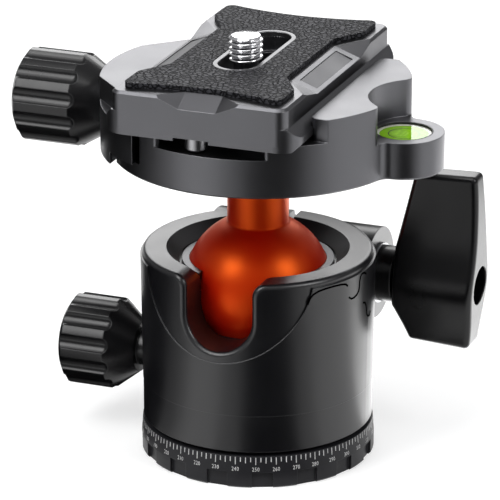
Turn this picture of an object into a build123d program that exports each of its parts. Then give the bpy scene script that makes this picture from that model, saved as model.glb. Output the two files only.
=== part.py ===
from build123d import *
import os
from math import atan2, degrees, hypot, radians, sin

# Tripod ball head with a split collar, a panning base and a dovetail clamp.
# Millimetres, +Z up. The origin is the centre of the base's underside. -Y is the side
# with the drop notch, +X the lever's side and -X the side of the two round knobs.

# ---- fits -------------------------------------------------------------------
RUN_FIT = 0.05          # radial clearance of shafts, studs and pins that turn or slide
THREAD_FIT = 0.03       # radial clearance of threaded pairs, drawn as plain cylinders
SEAT_FIT = 0.05         # clearance between the ball and the surfaces that grip it
LOOSE_FIT = 0.3         # clearance round parts that only pass each other
SLIDE_FIT = 0.1         # clearance under the sliding jaw
FACE_FIT = 0.02         # clearance at the dovetail's flat flanks

# ---- panning base, stacked up from the tripod's platform ------------------------
BASE_R = 22.2
BASE_TAPER = 0.25       # how much narrower the scale band is at its top
BASE_H = 6.25
BASE_EDGE = 0.4
GRIP_H = 3.1
GRIP_COUNT = 16
GRIP_GAP = 4.0
GRIP_DEPTH = 0.7
GRIP_PHASE = 0.75       # degrees from -Y to the first gap between two blocks
DRUM_R = 12.0
DRUM_H = 11.75
GROOVE_BELOW_TOP = 1.6
GROOVE_HALF = 1.2
GROOVE_ROOT = 0.1
INSERT_R = 6.5
INSERT_FLANGE_R = 7.6
INSERT_FLANGE_H = 1.2
INSERT_DEPTH = 9.5
TRIPOD_THREAD_R = 4.7625
PAN_WASHER_H = 0.6
PAN_WASHER_R = 19.6

# ---- ball and stem ----------------------------------------------------------
BALL_R = 14.0
BALL_ABOVE_DRUM = 0.5
STEM_R = 5.8
STEM_L = 26.8           # from the ball's centre to the clamp's seat
STEM_FILLET = 0.5
STEM_THREAD_DEPTH = 9.0

# ---- housing ----------------------------------------------------------------
HOUSING_INSET = 0.4     # the collar is this much narrower than the base
HOUSING_ABOVE_BALL = 7.7  # from the ball's centre to the rim
RIM_FILLET = 0.9
FOOT_CHAMFER = 0.3
BORE_GAP = 0.4          # between the ball and the bore
MOUTH_STEP = 0.5        # the upper bore is this much wider
MOUTH_STEP_DEPTH = 3.2
MOUTH_FLARE = 2.4
WEB_H = 1.0
WEB_HOLE_R = 7.5
SKIN_LOW_Z = 14.3       # the raised lower skin of the housing
SKIN_BELOW_RIM = 1.3
SKIN_LOW_H = 0.08
SKIN_TOP_H = 0.4
BIB_R = 16.6            # round edge of the skin below the notch
BIB_ABOVE_BALL = 8.6
NOTCH_GAP = 0.65        # each side of the stem
NOTCH_LIFT = 0.4        # the notch's round bottom is centred this far above the ball
NOTCH_CORNER = 2.4

# ---- ball seats -------------------------------------------------------------
CUP_SPRING_H = 0.7
CUP_SPRING_T = 0.35
CUP_SPRING_GAP = 0.8
CUP_BORE_R = 8.0
CUP_H = 6.0
RING_ABOVE_BALL = 2.1
RING_H = 3.4
RING_BEAD_OUT = 0.6
RING_BEAD_LOW = 0.5
RING_BEAD_H = 0.9
RING_GAP_EXTRA = 0.5    # the ring's gap is this much wider than the notch, each side

# ---- main lock: lug, stud and lever -------------------------------------------
LOCK_STUD_R = 2.5
LOCK_STUD_WALL = 0.5    # between the stud and the bore
LOCK_BELOW_BALL = 1.3
LUG_R = 8.8
LUG_REAR_IN = 6.6       # how far the lug's faces lie inside the collar's outside
LUG_FRONT_IN = 3.7
SLIT_W = 1.5
SLIT_BELOW_LOCK = 10.6
SLIT_END_R = 1.3
LOCK_STUD_SHORT = 2.0   # how far the stud's end stays inside the nut
LOCK_HEX_AF = 6.4
LOCK_HEX_L = 6.6
NUT_R = 4.0
NUT_L = 7.0
NUT_FLANGE_R = 5.6
NUT_FLANGE_H = 1.2
LOCK_WASHER_R = 5.8
LOCK_WASHER_H = 0.6
COLLAR_R = 5.4
COLLAR_L = 3.4
LEVER_W = 16.3
LEVER_UP = 22.2
LEVER_DOWN = 12.3
LEVER_TIP_HALF = 2.5    # half widths of the wings, seen along the stud
LEVER_WING_HALF = 3.2
LEVER_WING_UP = 13.3
LEVER_ROOT_HALF = 4.5
LEVER_ROOT_UP = 5.3
LEVER_HUB_HALF = 5.6
LEVER_HEEL_HALF = 4.4
LEVER_HEEL_DOWN = 5.9
LEVER_TOE_HALF = 3.3
LEVER_FLAT_UP = 6.8     # where the inner edge starts to slant, above and below the stud
LEVER_FLAT_DOWN = 4.5
LEVER_FLAT_LEAN = 0.4
LEVER_TIP_IN = 3.6      # how far the ends of the inner edge stand out
LEVER_TOE_IN = 3.2
LEVER_TIP_SLOPE = 0.5
LEVER_TOE_SLOPE = 0.7
LEVER_TIP_BACK = 0.4    # how far the outer bow falls back at its ends
LEVER_TOE_BACK = 1.2
LEVER_EDGE = 1.1
LEVER_HOLE_R = 3.75
LEVER_HOLE_DEPTH = 6.0
LEVER_SCREW_R = 1.5
LEVER_SCREW_HEAD_R = 3.0
LEVER_SCREW_HEAD_H = 1.8
LEVER_SCREW_L = 8.2
LEVER_SCREW_AF = 2.6

# ---- round knobs ------------------------------------------------------------
KNOB_FLUTES = 12
KNOB_FLUTE_R = 1.75
KNOB_FLUTE_OUT = 0.85   # how far the flute's centre lies outside the grip
KNOB_CROWN = 1.5        # height of the bevel round a knob's end
KNOB_CROWN_FLAT = 0.5   # the slighter bevel beyond it
KNOB_STUD_GRIP = 7.0    # how far a stud reaches into its knob
PAN_STUD_R = 2.45
PAN_PAD_APEX = 0.5      # axial gap between the pad's cone and the drum's groove
PAN_PAD_NOSE_R = 0.4
PAN_PAD_L = 2.6         # from the drum's outside to the stud's tip
PAN_NECK_R = 3.6
PAN_NECK_GAP = 0.7
PAN_SPOT_DEPTH = 1.0
PAN_NECK_L = 2.3
PAN_CONE_L = 4.9
PAN_GRIP_L = 10.1
PAN_CONE_R = 4.9
PAN_GRIP_R = 8.8
KEEPER_R = 2.0
KEEPER_SUNK = 1.6
KEEPER_AF = 2.0
KEEPER_HEX_DEPTH = 4.0
KEEPER_ANGLE = 60.0     # degrees from +X, at the back

# ---- clamp, stacked up from the stem's end ----------------------------------------
CLAMP_R = 28.0
CLAMP_X = 0.6
CLAMP_DISC_H = 2.9      # the thin floor under the movable jaw
CLAMP_CUT_X = -21.3
LAND_H = 9.9            # up to the faces that carry the plate
LAND_LEFT_X = -14.0
JAW_ABOVE_LAND = 4.3
JAW_END_Y = 19.3
JAW_LIP = 0.7           # how far a jaw's lip reaches over the plate's flange
JAW_CORNER = 1.5
CLAMP_EDGE = 0.4
POCKET_HALF = 10.05
POCKET_X = 0.65
POCKET_DEPTH = 2.5
POCKET_IN_Y = 17.8
POCKET_EDGE = 0.8
BOLT_R = 2.5
BOLT_HEAD_R = 4.25
BOLT_HEAD_H = 4.0
BOLT_EDGE = 0.4
BOLT_SEAT_H = 3.0
BOLT_L = 11.5
BOLT_HEX_AF = 4.0
LEVEL_OUT = 0.1         # the level is centred this far outside the clamp's rim
LEVEL_BOSS_R = 7.5
LEVEL_BOSS_H = 7.1
LEVEL_BLEND = 2.0       # between the boss and the clamp's rim
LEVEL_WELL_R = 5.4
LEVEL_WELL_DEPTH = 4.9
LEVEL_RELIEF_R = 10.8   # scoop in the fixed jaw beside the level
LEVEL_RELIEF_OUT = 4.4  # how far its centre lies outside the level's
LEVEL_MOUTH = 1.8
LEVEL_CUP_WALL = 0.8
LEVEL_CUP_FLOOR = 0.8
LEVEL_WINDOW_H = 0.8
LEVEL_WINDOW_EDGE = 0.25
LEVEL_SET_DOWN = 0.3
BUBBLE_R = 1.7
BUBBLE_H = 0.8
BUBBLE_OFF = 0.9

# ---- movable jaw ------------------------------------------------------------
JAW_X = -1.0            # centre of the jaw's round outside
JAW_PROUD = 0.5         # how much larger its radius is than the clamp's
JAW_GAP = 1.1           # between the jaw and the clamp body when it grips
JAW_SKIRT_GAP = 0.4
JAW_SKIRT_LIFT = 0.7
JAW_SPOT_DEPTH = 2.1    # flat for the washer on the jaw's round outside
JAW_SPOT_R = 6.0
JAW_CUT_Y = 17.0        # slanted cuts at the jaw's ends
JAW_CUT = 8.0
JAW_STUD_H = 5.7        # above the clamp's underside
JAW_STUD_R = 2.5
JAW_STUD_SHORT = 2.25   # from the stud's tip to the bolt's pocket
JAW_WASHER_R = 4.6
JAW_WASHER_H = 1.0
CLAMP_NECK_L = 0.1
CLAMP_CONE_L = 6.5
CLAMP_GRIP_L = 12.5
CLAMP_CONE_R = 5.0
CLAMP_GRIP_R = 8.9
PIN_R = 1.5
PIN_Y = 12.0
PIN_IN_BODY = 6.0
PIN_IN_JAW = 6.9
PIN_END_GAP = 1.0
SPRING_R = 2.4
SPRING_WALL = 0.7
SPRING_IN_JAW = 4.0
SPRING_IN_BODY = 2.5

# ---- quick-release plate ----------------------------------------------------
PLATE_X = -1.0
PLATE_OVERHANG = 0.3    # how far the plate's ends stand out over the clamp's rim
PLATE_TOP_HALF = 17.0
PLATE_H = 8.2
PLATE_EDGE = 0.5
PLATE_CORNER = 2.0
FLANGE_HALF = 19.0
FLANGE_BEVEL = 1.2
FLANGE_H = 2.4
FLANGE_CORNER = 4.4
END_SCOOP_TOP_HALF = 8.6
END_SCOOP_LOW_HALF = 3.6
END_SCOOP_DEPTH = 2.4
END_SCOOP_IN = 4.0
SIDE_SCOOP_TOP_HALF = 17.2
SIDE_SCOOP_LOW_HALF = 11.4
SIDE_SCOOP_DEPTH = 2.0
SIDE_SCOOP_IN = 5.0
PANEL_HALF_Y = 9.6
PANEL_DEPTH = 0.25
PANEL_MARGIN = 0.9
SLOT_Y = 0.85
SLOT_R = 3.7
SLOT_HALF = 12.35
SLOT_STEP_DEPTH = 2.8
WEB_SLOT_R = 2.5
HEAD_SLOT_R = 6.5
HEAD_SLOT_H = 3.4
PAD_H = 1.0
PAD_TIP_X = 15.2
PAD_TIP_Y = 26.6
PAD_WAIST_X = 11.3
PAD_WAIST_Y = 12.5
PAD_SHOULDER_Y = 18.8
PAD_END_Y = 24.2
PAD_CORNER = 1.4
PAD_SLOT_RIM = 1.0
STOP_X = -1.2           # beside the plate's middle
STOP_Y = 25.0
STOP_RECESS_HALF = 3.4
STOP_RECESS_H = 0.6
STOP_HEAD_R = 2.3
STOP_HEAD_H = 2.2
STOP_HEAD_EDGE = 0.4
STOP_R = 1.25
STOP_L = 4.5

# ---- camera screw -----------------------------------------------------------
CAMERA_Y = -3.7
CAMERA_R = 3.175
CAMERA_ABOVE_PAD = 4.4
CAMERA_THREAD_SUNK = 0.4
CAMERA_NECK_R = 2.3
CAMERA_HEAD_R = 6.0
CAMERA_HEAD_H = 2.2
CAMERA_HEAD_EDGE = 0.35
CAMERA_WASHER_R = 5.6
CAMERA_WASHER_H = 0.45
CAMERA_TIP = 0.6
COIN_SLOT_W = 1.6
COIN_SLOT_DEPTH = 1.1

# ---- sizes that follow from the ones above ------------------------------------
FAR = 100.0             # longer than anything here, for cutting tools
DRUM_TOP_Z = BASE_H + DRUM_H
PAN_Z = DRUM_TOP_Z - GROOVE_BELOW_TOP
HOUSING_R = BASE_R - HOUSING_INSET
HOUSING_LOW_Z = BASE_H + PAN_WASHER_H
BALL_Z = DRUM_TOP_Z + BALL_ABOVE_DRUM + BALL_R
SEAT_R = BALL_R + SEAT_FIT
BORE_R = BALL_R + BORE_GAP
HOUSING_TOP_Z = BALL_Z + HOUSING_ABOVE_BALL
NOTCH_HALF = STEM_R + NOTCH_GAP
NOTCH_ARC_Z = BALL_Z + NOTCH_LIFT
WEB_LOW_Z = DRUM_TOP_Z + LOOSE_FIT
WEB_TOP_Z = WEB_LOW_Z + WEB_H
CUP_LOW_Z = WEB_TOP_Z + CUP_SPRING_H
RING_LOW_Z = BALL_Z + RING_ABOVE_BALL
LOCK_Y = BORE_R + LOCK_STUD_WALL + LOCK_STUD_R
LOCK_Z = BALL_Z - LOCK_BELOW_BALL
LUG_REAR_X = LUG_REAR_IN - HOUSING_R
LUG_FRONT_X = HOUSING_R - LUG_FRONT_IN
LEVER_IN_X = LUG_FRONT_X + LOCK_WASHER_H + COLLAR_L
LEVER_OUT_X = LEVER_IN_X + LEVER_W
LEVER_SEAT_X = LEVER_OUT_X - LEVER_HOLE_DEPTH
PAN_SPOT_X = -(HOUSING_R - PAN_SPOT_DEPTH)
PAN_NECK_X = PAN_SPOT_X - PAN_NECK_GAP
PAN_GRIP_X = PAN_NECK_X - PAN_NECK_L - PAN_CONE_L
PAN_STUD_TIP_X = -(DRUM_R + PAN_PAD_L)
CLAMP_LOW_Z = BALL_Z + STEM_L
LAND_Z = CLAMP_LOW_Z + LAND_H
JAW_TOP_Z = LAND_Z + JAW_ABOVE_LAND
BOLT_SEAT_Z = CLAMP_LOW_Z + BOLT_SEAT_H
LEVEL_X = CLAMP_X + CLAMP_R + LEVEL_OUT
LEVEL_TOP_Z = CLAMP_LOW_Z + LEVEL_BOSS_H
LEVEL_FLOOR_Z = LEVEL_TOP_Z - LEVEL_WELL_DEPTH
LEVEL_GLASS_Z = LEVEL_TOP_Z - LEVEL_SET_DOWN - LEVEL_WINDOW_H
LEVEL_LIQUID_R = LEVEL_WELL_R - RUN_FIT - LEVEL_CUP_WALL
JAW_R = CLAMP_R + JAW_PROUD
JAW_IN_X = LAND_LEFT_X - JAW_GAP
JAW_SKIRT_X = CLAMP_CUT_X - JAW_SKIRT_GAP
JAW_SPOT_X = JAW_X - JAW_R + JAW_SPOT_DEPTH
JAW_STUD_Z = CLAMP_LOW_Z + JAW_STUD_H
JAW_STUD_TIP_X = -(BOLT_HEAD_R + LOOSE_FIT + JAW_STUD_SHORT)
CLAMP_NECK_X = JAW_SPOT_X - JAW_WASHER_H
CLAMP_GRIP_X = CLAMP_NECK_X - CLAMP_NECK_L - CLAMP_CONE_L
PIN_IN_X = LAND_LEFT_X + PIN_IN_BODY
PIN_OUT_X = JAW_IN_X - PIN_IN_JAW
PLATE_HALF_Y = CLAMP_R + PLATE_OVERHANG
FLANGE_TOP_Z = LAND_Z + FLANGE_H
STOP_SEAT_Z = LAND_Z + STOP_RECESS_H
PLATE_TOP_Z = LAND_Z + PLATE_H
PAD_TOP_Z = PLATE_TOP_Z + PAD_H
WEB_SLOT_HALF = SLOT_HALF - (SLOT_R - WEB_SLOT_R)
HEAD_SLOT_HALF = WEB_SLOT_HALF + HEAD_SLOT_R - WEB_SLOT_R
SLOT_STEP_Z = PLATE_TOP_Z - SLOT_STEP_DEPTH
HEAD_SLOT_Z = LAND_Z + HEAD_SLOT_H
CAMERA_HEAD_Z = HEAD_SLOT_Z - CAMERA_WASHER_H


def at(x=0.0, y=0.0, z=0.0):
    """A place, as a location."""
    return Location((x, y, z))


def turned_polygon(points):
    """A solid of revolution about Z from (radius, height) corners."""
    return revolve(Plane.XZ * make_face(Polyline(*points, close=True)), Axis.Z)


def rod(radius, low, high, x=0.0, y=0.0):
    """An upright cylinder between two heights."""
    return at(x, y, (low + high) / 2) * Cylinder(radius, high - low)


def rod_x(radius, low, high, y=0.0, z=0.0):
    """A cylinder along X between two X values."""
    return at((low + high) / 2, y, z) * Rot(0, 90, 0) * Cylinder(radius, abs(high - low))


def block(x0, x1, y0, y1, z0, z1):
    """A box between two corners."""
    return at((x0 + x1) / 2, (y0 + y1) / 2, (z0 + z1) / 2) * Box(x1 - x0, y1 - y0, z1 - z0)


def raised(sketch, low, high):
    """A plan outline carried up from one height to another."""
    return extrude(Plane.XY.offset(low) * sketch, high - low)


def hexagon_x(across_flats, low, high, y, z):
    """A hexagonal prism along X."""
    face = Plane(origin=(low, y, z), z_dir=(1, 0, 0)) * RegularPolygon(
        across_flats / 2, 6, major_radius=False
    )
    return extrude(face, high - low)


def slot(length_half, radius):
    """A slot outline along Y about the origin."""
    return Rot(0, 0, 90) * SlotOverall(2 * length_half, 2 * radius)


# ---- panning base -----------------------------------------------------------
def pan_base():
    """Disc with grip blocks and scale band, and the drum that the lock grips."""
    groove_low = PAN_Z - GROOVE_HALF
    groove_high = PAN_Z + GROOVE_HALF
    root_r = DRUM_R - (GROOVE_HALF - GROOVE_ROOT)
    body = turned_polygon(
        [
            (0, 0),
            (BASE_R - BASE_EDGE, 0),
            (BASE_R, BASE_EDGE),
            (BASE_R, GRIP_H),
            (BASE_R - BASE_TAPER, BASE_H),
            (DRUM_R, BASE_H),
            (DRUM_R, groove_low),
            (root_r, PAN_Z - GROOVE_ROOT),
            (root_r, PAN_Z + GROOVE_ROOT),
            (DRUM_R, groove_high),
            (DRUM_R, DRUM_TOP_Z),
            (0, DRUM_TOP_Z),
        ]
    )
    gap = block(-GRIP_GAP / 2, GRIP_GAP / 2, -FAR, GRIP_DEPTH - BASE_R, -1, GRIP_H)
    step = 360 / GRIP_COUNT
    for i in range(GRIP_COUNT):
        body -= Rot(0, 0, GRIP_PHASE + i * step) * gap
    body -= rod(INSERT_R, -1, INSERT_DEPTH) + rod(INSERT_FLANGE_R, -1, INSERT_FLANGE_H)
    return body


def thread_insert():
    """Steel insert that takes the tripod's 3/8 inch screw."""
    body = rod(INSERT_R, 0, INSERT_DEPTH) + rod(INSERT_FLANGE_R, 0, INSERT_FLANGE_H)
    return body - rod(TRIPOD_THREAD_R, -1, INSERT_DEPTH + 1)


def pan_washer():
    """Slippery washer between the base and the housing."""
    inner = DRUM_R + LOOSE_FIT
    return rod(PAN_WASHER_R, BASE_H, HOUSING_LOW_Z) - rod(inner, 0, FAR)


def groove_cone(body_r, outer_x):
    """A pin along X whose cone points into the drum's groove, with a set gap."""
    reach = GROOVE_HALF - PAN_PAD_APEX
    nose_x = DRUM_R + PAN_PAD_NOSE_R - reach
    cone_x = DRUM_R + body_r - reach
    outline = [
        (nose_x, 0),
        (nose_x, PAN_PAD_NOSE_R),
        (cone_x, body_r),
        (outer_x, body_r),
        (outer_x, 0),
    ]
    face = make_face(Polyline(*[(x, 0, r) for x, r in outline], close=True))
    return at(0, 0, PAN_Z) * revolve(face, Axis.X)


def pan_brake_pad():
    """Soft brass pad that the lock stud pushes into the drum's groove."""
    return Rot(0, 0, 180) * groove_cone(PAN_STUD_R, -PAN_STUD_TIP_X)


def drum_keeper():
    """Grub screw that keeps the drum from falling out when the lock is loose."""
    outer_r = HOUSING_R - KEEPER_SUNK
    screw = groove_cone(KEEPER_R, outer_r)
    socket = hexagon_x(KEEPER_AF, outer_r - KEEPER_HEX_DEPTH, outer_r + 1, 0, PAN_Z)
    return Rot(0, 0, KEEPER_ANGLE) * (screw - socket)


# ---- housing ----------------------------------------------------------------
def notch_tool():
    """The drop notch as a cutting block from the axis to the front, with round shoulders."""
    half, corner, top_z = NOTCH_HALF, NOTCH_CORNER, HOUSING_TOP_Z
    shoulder = corner * (1 - sin(radians(45)))
    open_z = top_z + 1
    sides = []
    for side in (-1, 1):
        wall = (side * half, top_z - corner)
        brow = (side * (half + shoulder), top_z - shoulder)
        crest = (side * (half + corner), top_z)
        sides.append(Line((side * half, NOTCH_ARC_Z), wall))
        sides.append(ThreePointArc(wall, brow, crest))
        sides.append(Line(crest, (side * (half + corner), open_z)))
    top = Line((-half - corner, open_z), (half + corner, open_z))
    bottom = ThreePointArc((-half, NOTCH_ARC_Z), (0, NOTCH_ARC_Z - half), (half, NOTCH_ARC_Z))
    return extrude(Plane.XZ * make_face([*sides, top, bottom]), FAR)


def on_rim(edge):
    """Whether an edge belongs to the outer rim or to the notch's outer outline."""
    start, middle, end = edge @ 0, edge @ 0.5, edge @ 1
    outside = min(hypot(p.X, p.Y) for p in (start, middle, end)) > HOUSING_R - 0.1
    return outside and middle.Z > NOTCH_ARC_Z - NOTCH_HALF - 1


def housing_core():
    """The collar's outside: drum, raised skin and the lug for the clamping stud."""
    body = rod(HOUSING_R, HOUSING_LOW_Z, HOUSING_TOP_Z)
    body = chamfer(body.edges().group_by(Axis.Z)[0], FOOT_CHAMFER)
    body -= rod(BORE_R, WEB_TOP_Z, FAR)
    body -= notch_tool()
    body = fillet(body.edges().filter_by(on_rim), RIM_FILLET)
    skin_in = (BORE_R + HOUSING_R) / 2
    skin_top_z = HOUSING_TOP_Z - SKIN_BELOW_RIM
    skin = turned_polygon(
        [
            (skin_in, SKIN_LOW_Z),
            (HOUSING_R + SKIN_LOW_H, SKIN_LOW_Z),
            (HOUSING_R + SKIN_TOP_H, skin_top_z),
            (skin_in, skin_top_z),
        ]
    )
    bib = at(0, -FAR / 2, BALL_Z + BIB_ABOVE_BALL) * Rot(90, 0, 0) * Cylinder(BIB_R, FAR)
    lug = rod_x(LUG_R, LUG_REAR_X, LUG_FRONT_X, LOCK_Y, LOCK_Z)
    return body + (skin - bib) + lug


def housing():
    """Split collar with the ball's bore, the drop notch and the clamping lug."""
    body = housing_core()
    bead_low = RING_LOW_Z + RING_BEAD_LOW - SEAT_FIT
    bead_high = bead_low + RING_BEAD_H + 2 * SEAT_FIT
    bead_r = BORE_R + RING_BEAD_OUT + SEAT_FIT
    step_z = HOUSING_TOP_Z - MOUTH_STEP_DEPTH
    step_r = BORE_R + MOUTH_STEP
    body -= turned_polygon(
        [
            (0, HOUSING_LOW_Z - 1),
            (DRUM_R + RUN_FIT, HOUSING_LOW_Z - 1),
            (DRUM_R + RUN_FIT, WEB_LOW_Z),
            (WEB_HOLE_R, WEB_LOW_Z),
            (WEB_HOLE_R, WEB_TOP_Z),
            (BORE_R, WEB_TOP_Z),
            (BORE_R, bead_low),
            (bead_r, bead_low),
            (bead_r, bead_high),
            (BORE_R, bead_high),
            (BORE_R, step_z),
            (step_r, step_z),
            (step_r, HOUSING_TOP_Z - MOUTH_FLARE),
            (step_r + MOUTH_FLARE, HOUSING_TOP_Z),
            (step_r + MOUTH_FLARE, HOUSING_TOP_Z + 1),
            (0, HOUSING_TOP_Z + 1),
        ]
    )
    slit_z = LOCK_Z - SLIT_BELOW_LOCK
    body -= block(-SLIT_W / 2, SLIT_W / 2, BORE_R - 1, FAR, slit_z, FAR)
    body -= at(0, FAR / 2, slit_z) * Rot(90, 0, 0) * Cylinder(SLIT_END_R, FAR - 2 * BORE_R + 2)
    body -= rod_x(LOCK_STUD_R + LOOSE_FIT / 2, 0, LUG_FRONT_X + 1, LOCK_Y, LOCK_Z)
    body -= rod_x(LOCK_WASHER_R + LOOSE_FIT, LUG_FRONT_X, FAR, LOCK_Y, LOCK_Z)
    body -= rod_x(NUT_R, LUG_REAR_X - 1, 0, LOCK_Y, LOCK_Z)
    body -= rod_x(NUT_FLANGE_R, LUG_REAR_X - 1, LUG_REAR_X + NUT_FLANGE_H, LOCK_Y, LOCK_Z)
    body -= rod_x(PAN_STUD_R + RUN_FIT, -FAR, 0, 0, PAN_Z)
    body -= rod_x(PAN_NECK_R + LOOSE_FIT, -FAR, PAN_SPOT_X, 0, PAN_Z)
    body -= Rot(0, 0, KEEPER_ANGLE) * rod_x(KEEPER_R, 0, FAR, 0, PAN_Z)
    return body


def cup_spring():
    """Disc spring that lifts the lower cup against the ball."""
    inner = CUP_BORE_R + CUP_SPRING_T
    outer = BORE_R - CUP_SPRING_GAP
    return turned_polygon(
        [
            (outer, WEB_TOP_Z),
            (outer, WEB_TOP_Z + CUP_SPRING_T),
            (inner, CUP_LOW_Z),
            (inner, CUP_LOW_Z - CUP_SPRING_T),
        ]
    )


def ball_cup():
    """Lower ring seat under the ball."""
    top_z = CUP_LOW_Z + CUP_H
    outer = BORE_R - SEAT_FIT
    body = rod(outer, CUP_LOW_Z, top_z) - rod(CUP_BORE_R, 0, FAR)
    return body - at(0, 0, BALL_Z) * Sphere(SEAT_R)


def seat_ring():
    """Split upper ring that fills the bore round the ball, with a bead to hold it."""
    low, high = RING_LOW_Z, RING_LOW_Z + RING_H
    bead_low = low + RING_BEAD_LOW
    body = rod(BORE_R - SEAT_FIT, low, high)
    body += rod(BORE_R + RING_BEAD_OUT, bead_low, bead_low + RING_BEAD_H)
    body -= at(0, 0, BALL_Z) * Sphere(SEAT_R)
    gap = NOTCH_HALF + RING_GAP_EXTRA
    return body - block(-gap, gap, -FAR, 0, 0, FAR)


def lock_nut():
    """Flanged steel nut in the rear ear of the lug."""
    body = rod_x(NUT_R, LUG_REAR_X, LUG_REAR_X + NUT_L, LOCK_Y, LOCK_Z)
    body += rod_x(NUT_FLANGE_R, LUG_REAR_X, LUG_REAR_X + NUT_FLANGE_H, LOCK_Y, LOCK_Z)
    return body - rod_x(LOCK_STUD_R + THREAD_FIT, -FAR, FAR, LOCK_Y, LOCK_Z)


# ---- main lock --------------------------------------------------------------
def lock_washer():
    """Thrust washer between the lug and the lever's collar."""
    high = LUG_FRONT_X + LOCK_WASHER_H
    ring = rod_x(LOCK_WASHER_R, LUG_FRONT_X, high, LOCK_Y, LOCK_Z)
    return ring - rod_x(LOCK_STUD_R + RUN_FIT, -FAR, FAR, LOCK_Y, LOCK_Z)


def lever_collar():
    """Spacer that keeps the lever clear of the housing."""
    low = LUG_FRONT_X + LOCK_WASHER_H
    ring = rod_x(COLLAR_R, low, LEVER_IN_X, LOCK_Y, LOCK_Z)
    return ring - rod_x(LOCK_STUD_R + THREAD_FIT, -FAR, FAR, LOCK_Y, LOCK_Z)


def lock_stud():
    """Clamping stud with a hexagon that the lever turns."""
    hex_end = LEVER_IN_X + LOCK_HEX_L
    body = rod_x(LOCK_STUD_R, LUG_REAR_X + LOCK_STUD_SHORT, LEVER_IN_X, LOCK_Y, LOCK_Z)
    body += hexagon_x(LOCK_HEX_AF, LEVER_IN_X, hex_end, LOCK_Y, LOCK_Z)
    return body - rod_x(LEVER_SCREW_R, LEVER_SEAT_X - LEVER_SCREW_L, FAR, LOCK_Y, LOCK_Z)


def lever_plan():
    """The lever seen along the stud: a wide hub between a long and a short wing."""
    side = [
        (LEVER_TIP_HALF, LEVER_UP),
        (LEVER_WING_HALF, LEVER_WING_UP),
        (LEVER_ROOT_HALF, LEVER_ROOT_UP),
        (LEVER_HUB_HALF, 0),
        (LEVER_HEEL_HALF, -LEVER_HEEL_DOWN),
        (LEVER_TOE_HALF, -LEVER_DOWN),
    ]
    right = Spline(*side)
    left = Spline(*[(-x, z) for x, z in side])
    ends = [Line((-x, z), (x, z)) for x, z in (side[0], side[-1])]
    face = make_face([right, left, *ends])
    return Plane(origin=(0, LOCK_Y, LOCK_Z), x_dir=(0, 1, 0), z_dir=(1, 0, 0)) * face


def lever_profile():
    """The lever seen from the front: slanted inner edge and bowed outer edge."""
    top = LOCK_Z + LEVER_UP
    toe = LOCK_Z - LEVER_DOWN
    tip_x, toe_x = LEVER_OUT_X - LEVER_TIP_BACK, LEVER_OUT_X - LEVER_TOE_BACK
    inner = Polyline(
        (tip_x, top),
        (LEVER_IN_X + LEVER_TIP_IN, top - LEVER_TIP_SLOPE),
        (LEVER_IN_X + LEVER_FLAT_LEAN, LOCK_Z + LEVER_FLAT_UP),
        (LEVER_IN_X, LOCK_Z - LEVER_FLAT_DOWN),
        (LEVER_IN_X + LEVER_TOE_IN, toe + LEVER_TOE_SLOPE),
        (toe_x, toe),
    )
    outer = ThreePointArc((toe_x, toe), (LEVER_OUT_X, LOCK_Z), (tip_x, top))
    return Plane.XZ * make_face([inner, outer])


def lever():
    """Moulded wing lever, hollow for the stud's hexagon and the screw's head."""
    body = extrude(lever_plan(), FAR) & extrude(lever_profile(), FAR, both=True)
    body = fillet(body.edges(), LEVER_EDGE)
    body -= rod_x(LEVER_HOLE_R, LEVER_SEAT_X, FAR, LOCK_Y, LOCK_Z)
    body -= rod_x(LEVER_SCREW_R + RUN_FIT, LEVER_IN_X, FAR, LOCK_Y, LOCK_Z)
    socket_end = LEVER_IN_X + LOCK_HEX_L
    return body - hexagon_x(LOCK_HEX_AF, 0, socket_end, LOCK_Y, LOCK_Z)


def lever_screw():
    """Screw that holds the lever on its stud."""
    head_end = LEVER_SEAT_X + LEVER_SCREW_HEAD_H
    round_off = LEVER_SCREW_HEAD_H / 3
    head = rod_x(LEVER_SCREW_HEAD_R, LEVER_SEAT_X, head_end, LOCK_Y, LOCK_Z)
    head = chamfer(head.edges().sort_by(Axis.X)[-1], round_off)
    tip = LEVER_SEAT_X - LEVER_SCREW_L + LOOSE_FIT
    socket = hexagon_x(LEVER_SCREW_AF, LEVER_SEAT_X + round_off, FAR, LOCK_Y, LOCK_Z)
    return head + rod_x(LEVER_SCREW_R, tip, LEVER_SEAT_X, LOCK_Y, LOCK_Z) - socket


# ---- round knobs ------------------------------------------------------------
def fluted_knob(neck_x, neck_r, neck_l, cone_r, cone_l, grip_r, grip_l):
    """A round knob along -X: neck, cone, fluted grip and a crowned end."""
    cone_x = neck_x - neck_l
    grip_x = cone_x - cone_l
    end_x = grip_x - grip_l
    outline = Polyline(
        (neck_x, 0),
        (neck_x, neck_r),
        (cone_x, neck_r),
        (cone_x, cone_r),
        (grip_x, grip_r),
        (end_x + KNOB_CROWN, grip_r),
        (end_x + KNOB_CROWN_FLAT, grip_r - KNOB_CROWN),
        (end_x, grip_r / 2),
        (end_x, 0),
        close=True,
    )
    body = revolve(Plane.XZ * make_face(outline), Axis.X)
    flute = rod_x(KNOB_FLUTE_R, end_x - 1, grip_x, 0, grip_r + KNOB_FLUTE_OUT)
    flute += at(grip_x, 0, grip_r + KNOB_FLUTE_OUT) * Sphere(KNOB_FLUTE_R)
    for i in range(KNOB_FLUTES):
        body -= Rot((i + 0.5) * 360 / KNOB_FLUTES, 0, 0) * flute
    return body


def pan_lock_knob():
    """Knob of the pan lock."""
    knob = at(0, 0, PAN_Z) * fluted_knob(
        PAN_NECK_X, PAN_NECK_R, PAN_NECK_L, PAN_CONE_R, PAN_CONE_L, PAN_GRIP_R, PAN_GRIP_L
    )
    return knob - rod_x(PAN_STUD_R, PAN_GRIP_X - KNOB_STUD_GRIP, 0, 0, PAN_Z)


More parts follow.
